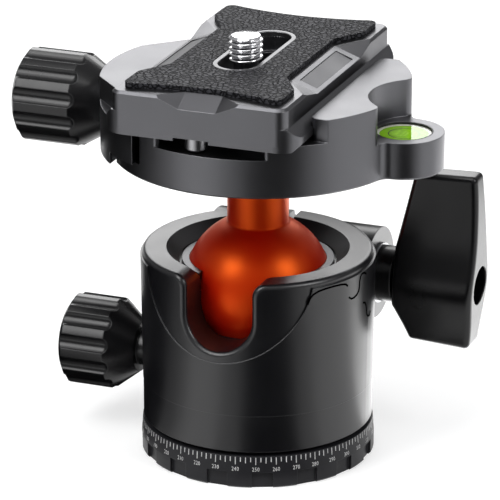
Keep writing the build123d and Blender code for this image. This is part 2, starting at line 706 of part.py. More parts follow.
def pan_lock_stud():
    """Stud from the pan knob to the brake pad."""
    return rod_x(PAN_STUD_R, PAN_GRIP_X - KNOB_STUD_GRIP, PAN_STUD_TIP_X, 0, PAN_Z)


def clamp_knob():
    """Knob that draws the movable jaw in."""
    knob = at(0, 0, JAW_STUD_Z) * fluted_knob(
        CLAMP_NECK_X,
        JAW_WASHER_R,
        CLAMP_NECK_L,
        CLAMP_CONE_R,
        CLAMP_CONE_L,
        CLAMP_GRIP_R,
        CLAMP_GRIP_L,
    )
    return knob - rod_x(JAW_STUD_R, CLAMP_GRIP_X - KNOB_STUD_GRIP, 0, 0, JAW_STUD_Z)


def clamp_stud():
    """Stud from the clamp knob through the jaw into the clamp body."""
    return rod_x(JAW_STUD_R, CLAMP_GRIP_X - KNOB_STUD_GRIP, JAW_STUD_TIP_X, 0, JAW_STUD_Z)


# ---- ball -------------------------------------------------------------------
def ball():
    """Ball and stem, turned from one bar, with a thread for the clamp's bolt."""
    body = at(0, 0, BALL_Z) * Sphere(BALL_R) + rod(STEM_R, BALL_Z, CLAMP_LOW_Z)
    junction = body.edges().filter_by(GeomType.CIRCLE).sort_by(Axis.Z)[-2]
    body = fillet(junction, STEM_FILLET)
    return body - rod(BOLT_R + RUN_FIT, CLAMP_LOW_Z - STEM_THREAD_DEPTH, FAR)


# ---- clamp ------------------------------------------------------------------
def clamp_blank():
    """Round block with the level's boss, cut down to the lands beside the fixed jaw."""
    root_x = PLATE_X + FLANGE_HALF + FACE_FIT
    lip_x = root_x - JAW_LIP
    plate_side = Polyline(
        (-FAR, LAND_Z),
        (root_x, LAND_Z),
        (root_x, FLANGE_TOP_Z),
        (lip_x, FLANGE_TOP_Z + JAW_LIP),
        (lip_x, FAR),
        (-FAR, FAR),
        close=True,
    )
    disc = at(CLAMP_X) * Circle(CLAMP_R)
    plan = disc + at(LEVEL_X) * Circle(LEVEL_BOSS_R)
    body = raised(fillet(plan.vertices(), LEVEL_BLEND), CLAMP_LOW_Z, LEVEL_TOP_Z)
    body = chamfer(body.edges().group_by(Axis.Z)[0], CLAMP_EDGE)
    relief = at(LEVEL_X + LEVEL_RELIEF_OUT) * Circle(LEVEL_RELIEF_R)
    crown = disc - relief
    body += raised(fillet(crown.vertices(), LEVEL_MOUTH), LEVEL_TOP_Z, JAW_TOP_Z)
    body -= extrude(Plane.XZ * make_face(plate_side), FAR, both=True)
    kept = at(lip_x + FAR / 2) * RectangleRounded(FAR, 2 * JAW_END_Y, JAW_CORNER)
    return body - raised(Rectangle(2 * FAR, 2 * FAR) - kept, LAND_Z, FAR)


def on_pocket_mouth(edge):
    """Whether an upright edge belongs to the mouth of a pocket on the clamp's rim."""
    middle = edge @ 0.5
    on_rim_x = abs(middle.X - POCKET_X) < POCKET_HALF + RUN_FIT
    return on_rim_x and abs(middle.Y) > POCKET_IN_Y + RUN_FIT and middle.Z < LAND_Z


def clamp_body():
    """Round clamp body with the fixed jaw, the plate's lands and the level's boss."""
    body = clamp_blank()
    body -= block(-FAR, CLAMP_CUT_X, -FAR, FAR, 0, FAR)
    body -= block(-FAR, LAND_LEFT_X, -FAR, FAR, CLAMP_LOW_Z + CLAMP_DISC_H, FAR)
    x0, x1 = POCKET_X - POCKET_HALF, POCKET_X + POCKET_HALF
    for side in (-1, 1):
        y0, y1 = sorted((side * POCKET_IN_Y, side * FAR))
        body -= block(x0, x1, y0, y1, LAND_Z - POCKET_DEPTH, FAR)
    body = fillet(body.edges().filter_by(Axis.Z).filter_by(on_pocket_mouth), POCKET_EDGE)
    for side in (-1, 1):
        body -= rod_x(PIN_R, PIN_IN_X, -FAR, side * PIN_Y, JAW_STUD_Z)
        spring_x = LAND_LEFT_X + SPRING_IN_BODY
        body -= rod_x(SPRING_R + LOOSE_FIT, -FAR, spring_x, side * PIN_Y, JAW_STUD_Z)
    body -= rod(BOLT_R + RUN_FIT, 0, FAR)
    body -= rod(BOLT_HEAD_R + LOOSE_FIT, BOLT_SEAT_Z, FAR)
    body -= rod_x(JAW_STUD_R + RUN_FIT, -FAR, 0, 0, JAW_STUD_Z)
    return body - rod(LEVEL_WELL_R, LEVEL_FLOOR_Z, FAR, LEVEL_X)


def clamp_bolt():
    """Socket bolt that holds the clamp on the stem."""
    head = rod(BOLT_HEAD_R, BOLT_SEAT_Z, BOLT_SEAT_Z + BOLT_HEAD_H)
    head = chamfer(head.edges().sort_by(Axis.Z)[-1], BOLT_EDGE)
    shank = rod(BOLT_R, BOLT_SEAT_Z - BOLT_L, BOLT_SEAT_Z)
    socket_z = BOLT_SEAT_Z + BOLT_HEAD_H / 2
    socket = raised(RegularPolygon(BOLT_HEX_AF / 2, 6, major_radius=False), socket_z, FAR)
    return head + shank - socket


def guide_pins():
    """Two dowels that keep the movable jaw square."""
    pins = [rod_x(PIN_R, PIN_OUT_X, PIN_IN_X, side * PIN_Y, JAW_STUD_Z) for side in (-1, 1)]
    return Compound(children=pins)


def jaw_springs():
    """Two springs that push the jaw open, as plain sleeves of their outer size."""
    low = JAW_IN_X - SPRING_IN_JAW
    high = LAND_LEFT_X + SPRING_IN_BODY
    sleeves = []
    for side in (-1, 1):
        outer = rod_x(SPRING_R, low, high, side * PIN_Y, JAW_STUD_Z)
        sleeves.append(outer - rod_x(SPRING_R - SPRING_WALL, low, high, side * PIN_Y, JAW_STUD_Z))
    return Compound(children=sleeves)


def level_cup():
    """Cup of the round bubble level."""
    body = rod(LEVEL_WELL_R - RUN_FIT, LEVEL_FLOOR_Z, LEVEL_GLASS_Z, LEVEL_X)
    return body - rod(LEVEL_LIQUID_R, LEVEL_FLOOR_Z + LEVEL_CUP_FLOOR, FAR, LEVEL_X)


def level_bubble():
    """Flat bubble under the level's window."""
    cap_r = (BUBBLE_R**2 + BUBBLE_H**2) / (2 * BUBBLE_H)
    ball_z = LEVEL_GLASS_Z + cap_r - BUBBLE_H
    cap = at(LEVEL_X - BUBBLE_OFF, 0, ball_z) * Sphere(cap_r)
    return cap & block(0, FAR, -FAR, FAR, 0, LEVEL_GLASS_Z)


def level_liquid():
    """Liquid of the level, with the bubble's hollow."""
    body = rod(LEVEL_LIQUID_R, LEVEL_FLOOR_Z + LEVEL_CUP_FLOOR, LEVEL_GLASS_Z, LEVEL_X)
    return body - level_bubble()


def level_window():
    """Clear window over the liquid."""
    high = LEVEL_GLASS_Z + LEVEL_WINDOW_H
    body = rod(LEVEL_WELL_R - RUN_FIT, LEVEL_GLASS_Z, high, LEVEL_X)
    return chamfer(body.edges().sort_by(Axis.Z)[-1], LEVEL_WINDOW_EDGE)


# ---- movable jaw ------------------------------------------------------------
def jaw_end_cut(side, corner_x):
    """Outline of the slanted cut at one end of the movable jaw."""
    near_y, far_y = side * (JAW_CUT_Y - JAW_CUT), side * FAR
    start_x = corner_x - JAW_CORNER
    corners = [
        (FAR, side * JAW_CUT_Y),
        (start_x, side * JAW_CUT_Y),
        (start_x - JAW_CUT, near_y),
        (-FAR, near_y),
        (-FAR, far_y),
        (FAR, far_y),
    ]
    return make_face(Polyline(*corners, close=True))


def jaw():
    """Sliding jaw with its lip, skirt and the bores for stud and pins."""
    low = CLAMP_LOW_Z + CLAMP_DISC_H + SLIDE_FIT
    skirt_z = CLAMP_LOW_Z + JAW_SKIRT_LIFT
    land_z = LAND_Z - SLIDE_FIT
    root_x = PLATE_X - FLANGE_HALF - FACE_FIT
    lip_x = root_x + JAW_LIP
    outline = Polyline(
        (JAW_IN_X, low),
        (JAW_IN_X, land_z),
        (root_x, land_z),
        (root_x, FLANGE_TOP_Z),
        (lip_x, FLANGE_TOP_Z + JAW_LIP),
        (lip_x, JAW_TOP_Z),
        (-FAR, JAW_TOP_Z),
        (-FAR, skirt_z),
        (JAW_SKIRT_X, skirt_z),
        (JAW_SKIRT_X, low),
        close=True,
    )
    body = extrude(Plane.XZ * make_face(outline), FAR, both=True)
    body &= raised(at(JAW_X) * Circle(JAW_R), 0, FAR)
    for side in (-1, 1):
        body -= raised(jaw_end_cut(side, lip_x), land_z, FAR)
        body -= rod_x(PIN_R + RUN_FIT, PIN_OUT_X - PIN_END_GAP, 0, side * PIN_Y, JAW_STUD_Z)
        spring_x = JAW_IN_X - SPRING_IN_JAW
        body -= rod_x(SPRING_R + LOOSE_FIT, spring_x, 0, side * PIN_Y, JAW_STUD_Z)
    body -= rod_x(JAW_STUD_R + RUN_FIT, -FAR, 0, 0, JAW_STUD_Z)
    return body - rod_x(JAW_SPOT_R, -FAR, JAW_SPOT_X, 0, JAW_STUD_Z)


def jaw_washer():
    """Thrust washer between the jaw and its knob."""
    ring = rod_x(JAW_WASHER_R, CLAMP_NECK_X, JAW_SPOT_X, 0, JAW_STUD_Z)
    return ring - rod_x(JAW_STUD_R + RUN_FIT, -FAR, 0, 0, JAW_STUD_Z)


# ---- quick-release plate ----------------------------------------------------
def plate_blank():
    """The plate's block on its dovetail flange, with rounded upright corners."""
    root_z = FLANGE_TOP_Z + FLANGE_HALF - PLATE_TOP_HALF
    half = [
        (FLANGE_HALF - FLANGE_BEVEL, LAND_Z),
        (FLANGE_HALF, LAND_Z + FLANGE_BEVEL),
        (FLANGE_HALF, FLANGE_TOP_Z),
        (PLATE_TOP_HALF, root_z),
    ]
    outline = [*half, *[(-x, z) for x, z in reversed(half)]]
    flange = extrude(Plane.XZ * make_face(Polyline(*outline, close=True)), FAR, both=True)
    flange &= raised(RectangleRounded(2 * FLANGE_HALF, 2 * PLATE_HALF_Y, FLANGE_CORNER), 0, FAR)
    top_plan = RectangleRounded(2 * PLATE_TOP_HALF, 2 * PLATE_HALF_Y, PLATE_CORNER)
    top = raised(top_plan, LAND_Z + FLANGE_BEVEL, PLATE_TOP_Z)
    top = chamfer(top.edges().group_by(Axis.Z)[-1], PLATE_EDGE)
    return flange + top


def scoop(top_half, low_half, depth, inward):
    """A wedge with ramped ends that slants a top edge; the edge runs along Y at x = 0."""
    over = PANEL_MARGIN / 2
    slope = over / depth
    faces = []
    for x, high_half, low_z in (
        (over, top_half * (1 + slope), PLATE_TOP_Z - depth),
        (-inward, low_half * (1 + slope) + over, PLATE_TOP_Z),
    ):
        high_z = PLATE_TOP_Z + over
        low, high = (low_half, low_z), (high_half, high_z)
        corners = [(x, y, z) for y, z in (high, low, (-low_half, low_z), (-high_half, high_z))]
        faces.append(make_face(Polyline(*corners, close=True)))
    return loft(faces, ruled=True)


def plate():
    """Quick-release plate with its slot, edge scoops and bare side panels."""
    body = plate_blank()
    end = scoop(END_SCOOP_TOP_HALF, END_SCOOP_LOW_HALF, END_SCOOP_DEPTH, END_SCOOP_IN)
    side = scoop(SIDE_SCOOP_TOP_HALF, SIDE_SCOOP_LOW_HALF, SIDE_SCOOP_DEPTH, SIDE_SCOOP_IN)
    for turn in (90, -90):
        body -= Rot(0, 0, turn) * at(PLATE_HALF_Y) * end
    for turn in (0, 180):
        body -= Rot(0, 0, turn) * at(PLATE_TOP_HALF) * side
    slope = degrees(atan2(SIDE_SCOOP_DEPTH, SIDE_SCOOP_IN))
    width = hypot(SIDE_SCOOP_DEPTH, SIDE_SCOOP_IN) - 2 * PANEL_MARGIN
    middle = at(PLATE_TOP_HALF - SIDE_SCOOP_IN / 2, 0, PLATE_TOP_Z - SIDE_SCOOP_DEPTH / 2)
    panel = middle * Rot(0, slope, 0) * Box(width, 2 * PANEL_HALF_Y, 2 * PANEL_DEPTH)
    for turn in (0, 180):
        body -= Rot(0, 0, turn) * panel
    body -= raised(at(0, SLOT_Y) * slot(SLOT_HALF, SLOT_R), SLOT_STEP_Z, FAR)
    body -= raised(at(0, SLOT_Y) * slot(WEB_SLOT_HALF, WEB_SLOT_R), 0, FAR)
    body -= raised(at(0, SLOT_Y) * slot(HEAD_SLOT_HALF, HEAD_SLOT_R), 0, HEAD_SLOT_Z)
    recess = block(
        STOP_X - STOP_RECESS_HALF, STOP_X + STOP_RECESS_HALF, HEAD_SLOT_HALF, FAR, 0, STOP_SEAT_Z
    )
    for side in (-1, 1):
        body -= rod(STOP_R, 0, STOP_SEAT_Z + STOP_L, STOP_X, side * STOP_Y)
        body -= recess if side > 0 else mirror(recess, Plane.XZ)
    return at(PLATE_X) * body


def pad_quarter(side_x, side_y):
    """One lobe of the pad's outline, from its waist to its tip."""
    waist, shoulder = (PAD_WAIST_X, PAD_WAIST_Y), (PAD_TIP_X, PAD_SHOULDER_Y)
    tip, end = (PAD_TIP_X, PAD_TIP_Y), (0, PAD_END_Y)
    bulge = (PAD_TIP_X / 2, PAD_END_Y + (PAD_TIP_Y - PAD_END_Y) / 4)
    points = [(0, 0), (PAD_WAIST_X, 0), waist, shoulder, tip, bulge, end]
    path = [(side_x * x, side_y * y) for x, y in points]
    sides = Polyline(*path[:5])
    return make_face([sides, ThreePointArc(*path[4:]), Line(path[6], path[0])])


def plate_pad():
    """Four-lobed rubber pad on top of the plate."""
    outline = Sketch() + [pad_quarter(x, y) for x in (-1, 1) for y in (-1, 1)]
    body = raised(outline, PLATE_TOP_Z, PAD_TOP_Z)
    lobes = [e for e in body.edges().filter_by(Axis.Z) if abs(e.center().Y) > PAD_WAIST_Y + RUN_FIT]
    body = fillet(lobes, PAD_CORNER)
    rim = slot(SLOT_HALF + PAD_SLOT_RIM, SLOT_R + PAD_SLOT_RIM)
    return at(PLATE_X) * (body - raised(at(0, SLOT_Y) * rim, 0, FAR))


def stop_screws():
    """Two screws that keep the plate from sliding out of the clamp."""
    x = PLATE_X + STOP_X
    screws = []
    for end_y in (-STOP_Y, STOP_Y):
        head = rod(STOP_HEAD_R, LAND_Z - STOP_HEAD_H, STOP_SEAT_Z, x, end_y)
        head = chamfer(head.edges().sort_by(Axis.Z)[0], STOP_HEAD_EDGE)
        screws.append(head + rod(STOP_R, STOP_SEAT_Z, STOP_SEAT_Z + STOP_L, x, end_y))
    return Compound(children=screws)


# ---- camera screw -----------------------------------------------------------
def screw_washer():
    """Captive washer that slides with the camera screw."""
    ring = rod(CAMERA_WASHER_R, CAMERA_HEAD_Z, HEAD_SLOT_Z, PLATE_X, CAMERA_Y)
    return ring - rod(CAMERA_NECK_R + RUN_FIT, 0, FAR, PLATE_X, CAMERA_Y)


def camera_screw():
    """Quarter-inch camera screw, thinner below its thread so that it stays captive."""
    thread_z = PAD_TOP_Z - CAMERA_THREAD_SUNK
    head_low = CAMERA_HEAD_Z - CAMERA_HEAD_H
    head = rod(CAMERA_HEAD_R, head_low, CAMERA_HEAD_Z, PLATE_X, CAMERA_Y)
    head = chamfer(head.edges().sort_by(Axis.Z)[0], CAMERA_HEAD_EDGE)
    neck = rod(CAMERA_NECK_R, CAMERA_HEAD_Z, thread_z, PLATE_X, CAMERA_Y)
    thread = rod(CAMERA_R, thread_z, PAD_TOP_Z + CAMERA_ABOVE_PAD, PLATE_X, CAMERA_Y)
    thread = chamfer(thread.edges().filter_by(GeomType.CIRCLE), CAMERA_TIP)
    coin_z = head_low + COIN_SLOT_DEPTH
    coin = block(-FAR, FAR, CAMERA_Y - COIN_SLOT_W / 2, CAMERA_Y + COIN_SLOT_W / 2, 0, coin_z)
    return head + neck + thread - coin


PARTS = {
    "pan_base": pan_base,
    "thread_insert": thread_insert,
    "pan_washer": pan_washer,
    "housing": housing,
    "cup_spring": cup_spring,
    "ball_cup": ball_cup,
    "seat_ring": seat_ring,
    "lock_nut": lock_nut,
    "drum_keeper": drum_keeper,
    "lock_washer": lock_washer,
    "lever_collar": lever_collar,
    "lock_stud": lock_stud,
    "lever": lever,
    "lever_screw": lever_screw,
    "pan_brake_pad": pan_brake_pad,
    "pan_lock_stud": pan_lock_stud,
    "pan_lock_knob": pan_lock_knob,
    "ball": ball,
    "clamp_body": clamp_body,
    "clamp_bolt": clamp_bolt,
    "guide_pins": guide_pins,
    "jaw_springs": jaw_springs,
    "level_cup": level_cup,
    "level_liquid": level_liquid,
    "level_bubble": level_bubble,
    "level_window": level_window,
    "jaw": jaw,
    "jaw_washer": jaw_washer,
    "clamp_stud": clamp_stud,
    "clamp_knob": clamp_knob,
    "plate": plate,
    "plate_pad": plate_pad,
    "stop_screws": stop_screws,
    "screw_washer": screw_washer,
    "camera_screw": camera_screw,
}

os.makedirs("parts", exist_ok=True)
for name, build in PARTS.items():
    export_step(build(), f"parts/{name}.step")
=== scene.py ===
"""Looks of a tripod ball head: the finishes of its solids, and the small forms they leave out."""

import logging
import math
from dataclasses import dataclass, field
from enum import Enum

import bmesh
import bpy
import numpy as np
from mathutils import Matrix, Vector


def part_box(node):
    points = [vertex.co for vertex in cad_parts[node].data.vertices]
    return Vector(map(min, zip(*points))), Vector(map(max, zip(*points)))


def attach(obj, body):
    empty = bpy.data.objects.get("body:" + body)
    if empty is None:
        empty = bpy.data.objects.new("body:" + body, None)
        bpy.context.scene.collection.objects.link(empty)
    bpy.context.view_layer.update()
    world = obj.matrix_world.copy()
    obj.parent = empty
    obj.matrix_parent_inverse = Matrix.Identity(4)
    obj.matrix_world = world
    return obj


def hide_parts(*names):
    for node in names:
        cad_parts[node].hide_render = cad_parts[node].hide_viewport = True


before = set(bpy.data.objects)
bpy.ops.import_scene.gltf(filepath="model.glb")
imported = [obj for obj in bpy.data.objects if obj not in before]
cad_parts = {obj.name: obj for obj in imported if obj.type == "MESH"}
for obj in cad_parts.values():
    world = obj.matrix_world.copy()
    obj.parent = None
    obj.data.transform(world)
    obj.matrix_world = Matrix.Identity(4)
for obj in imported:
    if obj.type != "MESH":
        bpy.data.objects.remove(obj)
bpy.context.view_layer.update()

log = logging.getLogger("ball_head")

MM = 0.001
TURN = 2 * math.pi

Colour = tuple[float, float, float]


# ---- mesh code ------------------------------------------------------------------
def mesh_object(name: str, points: np.ndarray, faces: list[list[int]]) -> bpy.types.Object:
    """Makes a mesh object at the origin.

    Args:
        name: Name of the piece.
        points: Corners in metres, one row each.
        faces: Corner numbers of each face.

    Returns:
        The new object, linked to the scene.
    """
    mesh = bpy.data.meshes.new(name)
    mesh.from_pydata(np.asarray(points, float).tolist(), [], faces)
    mesh.update()
    piece = bpy.data.objects.new(name, mesh)
    bpy.context.scene.collection.objects.link(piece)
    return piece


def grid_faces(rows: int, columns: int, closed_rows: bool, closed_columns: bool) -> np.ndarray:
    """Numbers the corners of a grid's quads.

    Args:
        rows: Points along the first parameter.
        columns: Points along the second parameter.
        closed_rows: Whether the last row joins the first.
        closed_columns: Whether the last column joins the first.

    Returns:
        One row of four corner numbers for each quad.
    """
    i = np.arange(rows if closed_rows else rows - 1)
    j = np.arange(columns if closed_columns else columns - 1)
    i, j = (a.ravel() for a in np.meshgrid(i, j, indexing="ij"))
    below, beside = (i + 1) % rows, (j + 1) % columns
    corners = (i * columns + j, below * columns + j, below * columns + beside, i * columns + beside)
    return np.stack(corners, axis=1)


def outwards(piece: bpy.types.Object) -> None:
    """Turns all faces of a closed mesh outwards.

    Args:
        piece: Piece with the mesh.
    """
    work = bmesh.new()
    work.from_mesh(piece.data)
    bmesh.ops.recalc_face_normals(work, faces=work.faces)
    work.to_mesh(piece.data)
    work.free()


def sharpen(piece: bpy.types.Object, degrees: float = 35.0) -> None:
    """Shades a piece smoothly, apart from edges sharper than an angle."""
    piece.data.shade_smooth()
    piece.data.set_sharp_from_angle(angle=math.radians(degrees))


def surface(name: str, points: np.ndarray, closed_rows: bool = False,
            closed_columns: bool = False, capped: bool = False) -> bpy.types.Object:
    """Makes a piece from a grid of points, a function of two parameters.

    Args:
        name: Name of the piece.
        points: Array of rows by columns by three, in metres.
        closed_rows: Whether the last row joins the first.
        closed_columns: Whether the last column joins the first.
        capped: Whether the first and last row are closed with one face each.

    Returns:
        The new object, with its faces outwards.
    """
    rows, columns = points.shape[:2]
    faces = grid_faces(rows, columns, closed_rows, closed_columns).tolist()
    if capped:
        faces.append(list(range(columns)))
        faces.append(list(range((rows - 1) * columns, rows * columns)))
    piece = mesh_object(name, points.reshape(-1, 3), faces)
    outwards(piece)
    sharpen(piece)
    return piece


def lathe(profile: np.ndarray, steps: int) -> np.ndarray:
    """Turns a profile about Z: each (radius, height) row becomes a ring of points.

    Args:
        profile: Rows of radius and height.
        steps: Points round each ring.

    Returns:
        Grid of rows by steps by three.
    """
    angle = np.arange(steps) * TURN / steps
    radius, height = profile[:, :1], profile[:, 1:]
    return np.stack((radius * np.cos(angle), radius * np.sin(angle), height + 0 * angle), axis=-1)


def many_blocks(name: str, centres: np.ndarray, sides: np.ndarray, ups: np.ndarray,
                outs: np.ndarray, sizes: np.ndarray) -> bpy.types.Object:
    """Makes many small blocks as one mesh.

    Each corner is the block's centre plus or minus half its width along its side direction,
    half its height along its up direction and half its depth along its outward direction.

    Args:
        name: Name of the piece.
        centres: One row of three for each block, in metres.
        sides: Unit vectors along each block's width.
        ups: Unit vectors along each block's height.
        outs: Unit vectors along each block's depth.
        sizes: Width, height and depth of each block.

    Returns:
        The new object.
    """
    signs = np.array([(x, y, z) for x in (-1, 1) for y in (-1, 1) for z in (-1, 1)]) / 2
    axes = np.stack((sides, ups, outs), axis=1)
    corners = centres[:, None, :] + np.einsum("cs,ns,nsk->nck", signs, sizes, axes)
    quads = np.array([(0, 1, 3, 2), (4, 6, 7, 5), (0, 4, 5, 1), (2, 3, 7, 6), (0, 2, 6, 4), (1, 5, 7, 3)])
    faces = (quads[None] + 8 * np.arange(len(centres))[:, None, None]).reshape(-1, 4)
    piece = mesh_object(name, corners.reshape(-1, 3), faces.tolist())
    outwards(piece)
    return piece


def cut(piece: bpy.types.Object, cutter: bpy.types.Object) -> bpy.types.Object:
    """Cuts one closed mesh from another, and deletes the cutter.

    Args:
        piece: Piece that is cut.
        cutter: Piece whose space is taken away.

    Returns:
        The piece, with its new mesh.
    """
    step = piece.modifiers.new("cut", "BOOLEAN")
    step.operation, step.solver, step.object = "DIFFERENCE", "EXACT", cutter
    bpy.context.view_layer.update()
    seen = piece.evaluated_get(bpy.context.evaluated_depsgraph_get())
    mesh = bpy.data.meshes.new_from_object(seen)
    piece.modifiers.clear()
    piece.data = mesh
    bpy.data.objects.remove(cutter)
    return piece


# ---- shader node groups ------------------------------------------------------------
class Sockets(Enum):
    """Kinds of socket that a group's interface takes."""

    VALUE = "NodeSocketFloat"
    COLOUR = "NodeSocketColor"
    VECTOR = "NodeSocketVector"


def new_group(name: str, inputs: dict[str, tuple[Sockets, object]],
              outputs: dict[str, Sockets]) -> tuple[bpy.types.NodeTree, object, object]:
    """Starts a shader node group with named sockets.

    Args:
        name: Name of the group.
        inputs: Socket kind and default value for each input's name.
        outputs: Socket kind for each output's name.

    Returns:
        The group, its input node and its output node.
    """
    group = bpy.data.node_groups.new(name, "ShaderNodeTree")
    for label, (kind, default) in inputs.items():
        socket = group.interface.new_socket(label, in_out="INPUT", socket_type=kind.value)
        socket.default_value = default
    for label, kind in outputs.items():
        group.interface.new_socket(label, in_out="OUTPUT", socket_type=kind.value)
    return group, group.nodes.new("NodeGroupInput"), group.nodes.new("NodeGroupOutput")


Feed = bpy.types.NodeSocket | float | tuple[float, ...]


def feed(tree: bpy.types.NodeTree, value: Feed, socket: bpy.types.NodeSocket) -> None:
    """Gives a node's input its value, or links another node's output to it.

    Args:
        tree: Node tree of both.
        value: Number, colour or output.
        socket: The input.
    """
    if isinstance(value, bpy.types.NodeSocket):
        tree.links.new(value, socket)
    else:
        socket.default_value = value


def calculate(tree: bpy.types.NodeTree, operation: str, first: Feed, second: Feed,
              clamp: bool = False) -> bpy.types.NodeSocket:
    """Adds a Math node.

    Args:
        tree: Node tree that takes it.
        operation: Name of the operation.
        first: Its first value.
        second: Its second value.
        clamp: Whether the result stays between 0 and 1.

    Returns:
        The node's output.
    """
    node = tree.nodes.new("ShaderNodeMath")
    node.operation, node.use_clamp = operation, clamp
    feed(tree, first, node.inputs[0])
    feed(tree, second, node.inputs[1])
    return node.outputs[0]


def blend(tree: bpy.types.NodeTree, share: Feed, first: Feed, second: Feed) -> bpy.types.NodeSocket:
    """Adds a Mix node for colours.

    Args:
        tree: Node tree that takes it.
        share: How much of the second colour shows.
        first: Colour at a share of 0.
        second: Colour at a share of 1.

    Returns:
        The mixed colour.
    """
    node = tree.nodes.new("ShaderNodeMix")
    node.data_type = "RGBA"
    for label, value in (("Factor", share), ("A", first), ("B", second)):
        feed(tree, value, node.inputs[label])
    return node.outputs["Result"]


def raise_normal(tree: bpy.types.NodeTree, height: Feed, distance: float,
                 normal: Feed) -> bpy.types.NodeSocket:
    """Adds a Bump node on top of a normal.

    Args:
        tree: Node tree that takes it.
        height: Height pattern.
        distance: Metres from its low to its high.
        normal: Normal that it starts from.

    Returns:
        The new normal.
    """
    node = tree.nodes.new("ShaderNodeBump")
    node.inputs["Distance"].default_value = distance
    feed(tree, height, node.inputs["Height"])
    feed(tree, normal, node.inputs["Normal"])
    return node.outputs["Normal"]


@dataclass
class Shades:
    """The node groups that several materials share."""

    edge_samples: int = 6
    groups: dict[str, bpy.types.NodeTree] = field(default_factory=dict)

    def edges(self) -> bpy.types.NodeTree:
        """Softened edges: the rounded normal, and a mask that is 1 where it differs from the face.

        Returns:
            Group with inputs Radius and Gain, and outputs Normal and Mask.
        """
        if "edges" in self.groups:
            return self.groups["edges"]
        inputs = {"Radius": (Sockets.VALUE, 0.0003), "Gain": (Sockets.VALUE, 6.0)}
        outputs = {"Normal": Sockets.VECTOR, "Mask": Sockets.VALUE}
        group, start, end = new_group("soft_edges", inputs, outputs)
        nodes, links = group.nodes, group.links
        bevel = nodes.new("ShaderNodeBevel")
        bevel.samples = self.edge_samples
        links.new(start.outputs["Radius"], bevel.inputs["Radius"])
        face = nodes.new("ShaderNodeNewGeometry")
        dot = nodes.new("ShaderNodeVectorMath")
        dot.operation = "DOT_PRODUCT"
        links.new(bevel.outputs[0], dot.inputs[0])
        links.new(face.outputs["Normal"], dot.inputs[1])
        turned = calculate(group, "SUBTRACT", 1.0, dot.outputs["Value"])
        mask = calculate(group, "MULTIPLY", turned, start.outputs["Gain"], clamp=True)
        links.new(bevel.outputs[0], end.inputs["Normal"])
        links.new(mask, end.inputs["Mask"])
        self.groups["edges"] = group
        return group

    def grain(self) -> bpy.types.NodeTree:
        """Blasted grain: fine noise for height, broad noise for tone, on object coordinates.

        Returns:
            Group with inputs Fine and Broad, in features for each metre, and outputs Height
            and Tone.
        """
        if "grain" in self.groups:
            return self.groups["grain"]
        inputs = {"Fine": (Sockets.VALUE, 9000.0), "Broad": (Sockets.VALUE, 120.0)}
        outputs = {"Height": Sockets.VALUE, "Tone": Sockets.VALUE}
        group, start, end = new_group("blasted_grain", inputs, outputs)
        nodes, links = group.nodes, group.links
        place = nodes.new("ShaderNodeTexCoord")
        for label, detail, target in (("Fine", 2.0, "Height"), ("Broad", 3.0, "Tone")):
            noise = nodes.new("ShaderNodeTexNoise")
            noise.inputs["Detail"].default_value = detail
            links.new(place.outputs["Object"], noise.inputs["Vector"])
            links.new(start.outputs[label], noise.inputs["Scale"])
            links.new(noise.outputs[0], end.inputs[target])
        self.groups["grain"] = group
        return group

    def turned(self) -> bpy.types.NodeTree:
        """Fine tool marks round the Z axis through a centre, as turned metal shows.

        Returns:
            Group with inputs Centre and Pitch, in marks for each metre, and output Height.
        """
        if "turned" in self.groups:
            return self.groups["turned"]
        inputs = {"Centre": (Sockets.VECTOR, (0, 0, 0)), "Pitch": (Sockets.VALUE, 4000.0)}
        group, start, end = new_group("turning_marks", inputs, {"Height": Sockets.VALUE})
        nodes, links = group.nodes, group.links
        place = nodes.new("ShaderNodeTexCoord")
        shift = nodes.new("ShaderNodeVectorMath")
        shift.operation = "SUBTRACT"
        links.new(place.outputs["Object"], shift.inputs[0])
        links.new(start.outputs["Centre"], shift.inputs[1])
        distance = nodes.new("ShaderNodeVectorMath")
        distance.operation = "LENGTH"
        links.new(shift.outputs["Vector"], distance.inputs[0])
        noise = nodes.new("ShaderNodeTexNoise")
        noise.noise_dimensions = "1D"
        noise.inputs["Detail"].default_value = 1.0
        links.new(distance.outputs["Value"], noise.inputs["W"])
        links.new(start.outputs["Pitch"], noise.inputs["Scale"])
        links.new(noise.outputs[0], end.inputs["Height"])
        self.groups["turned"] = group
        return group


SHADES = Shades()
MADE: dict[str, bpy.types.Material] = {}


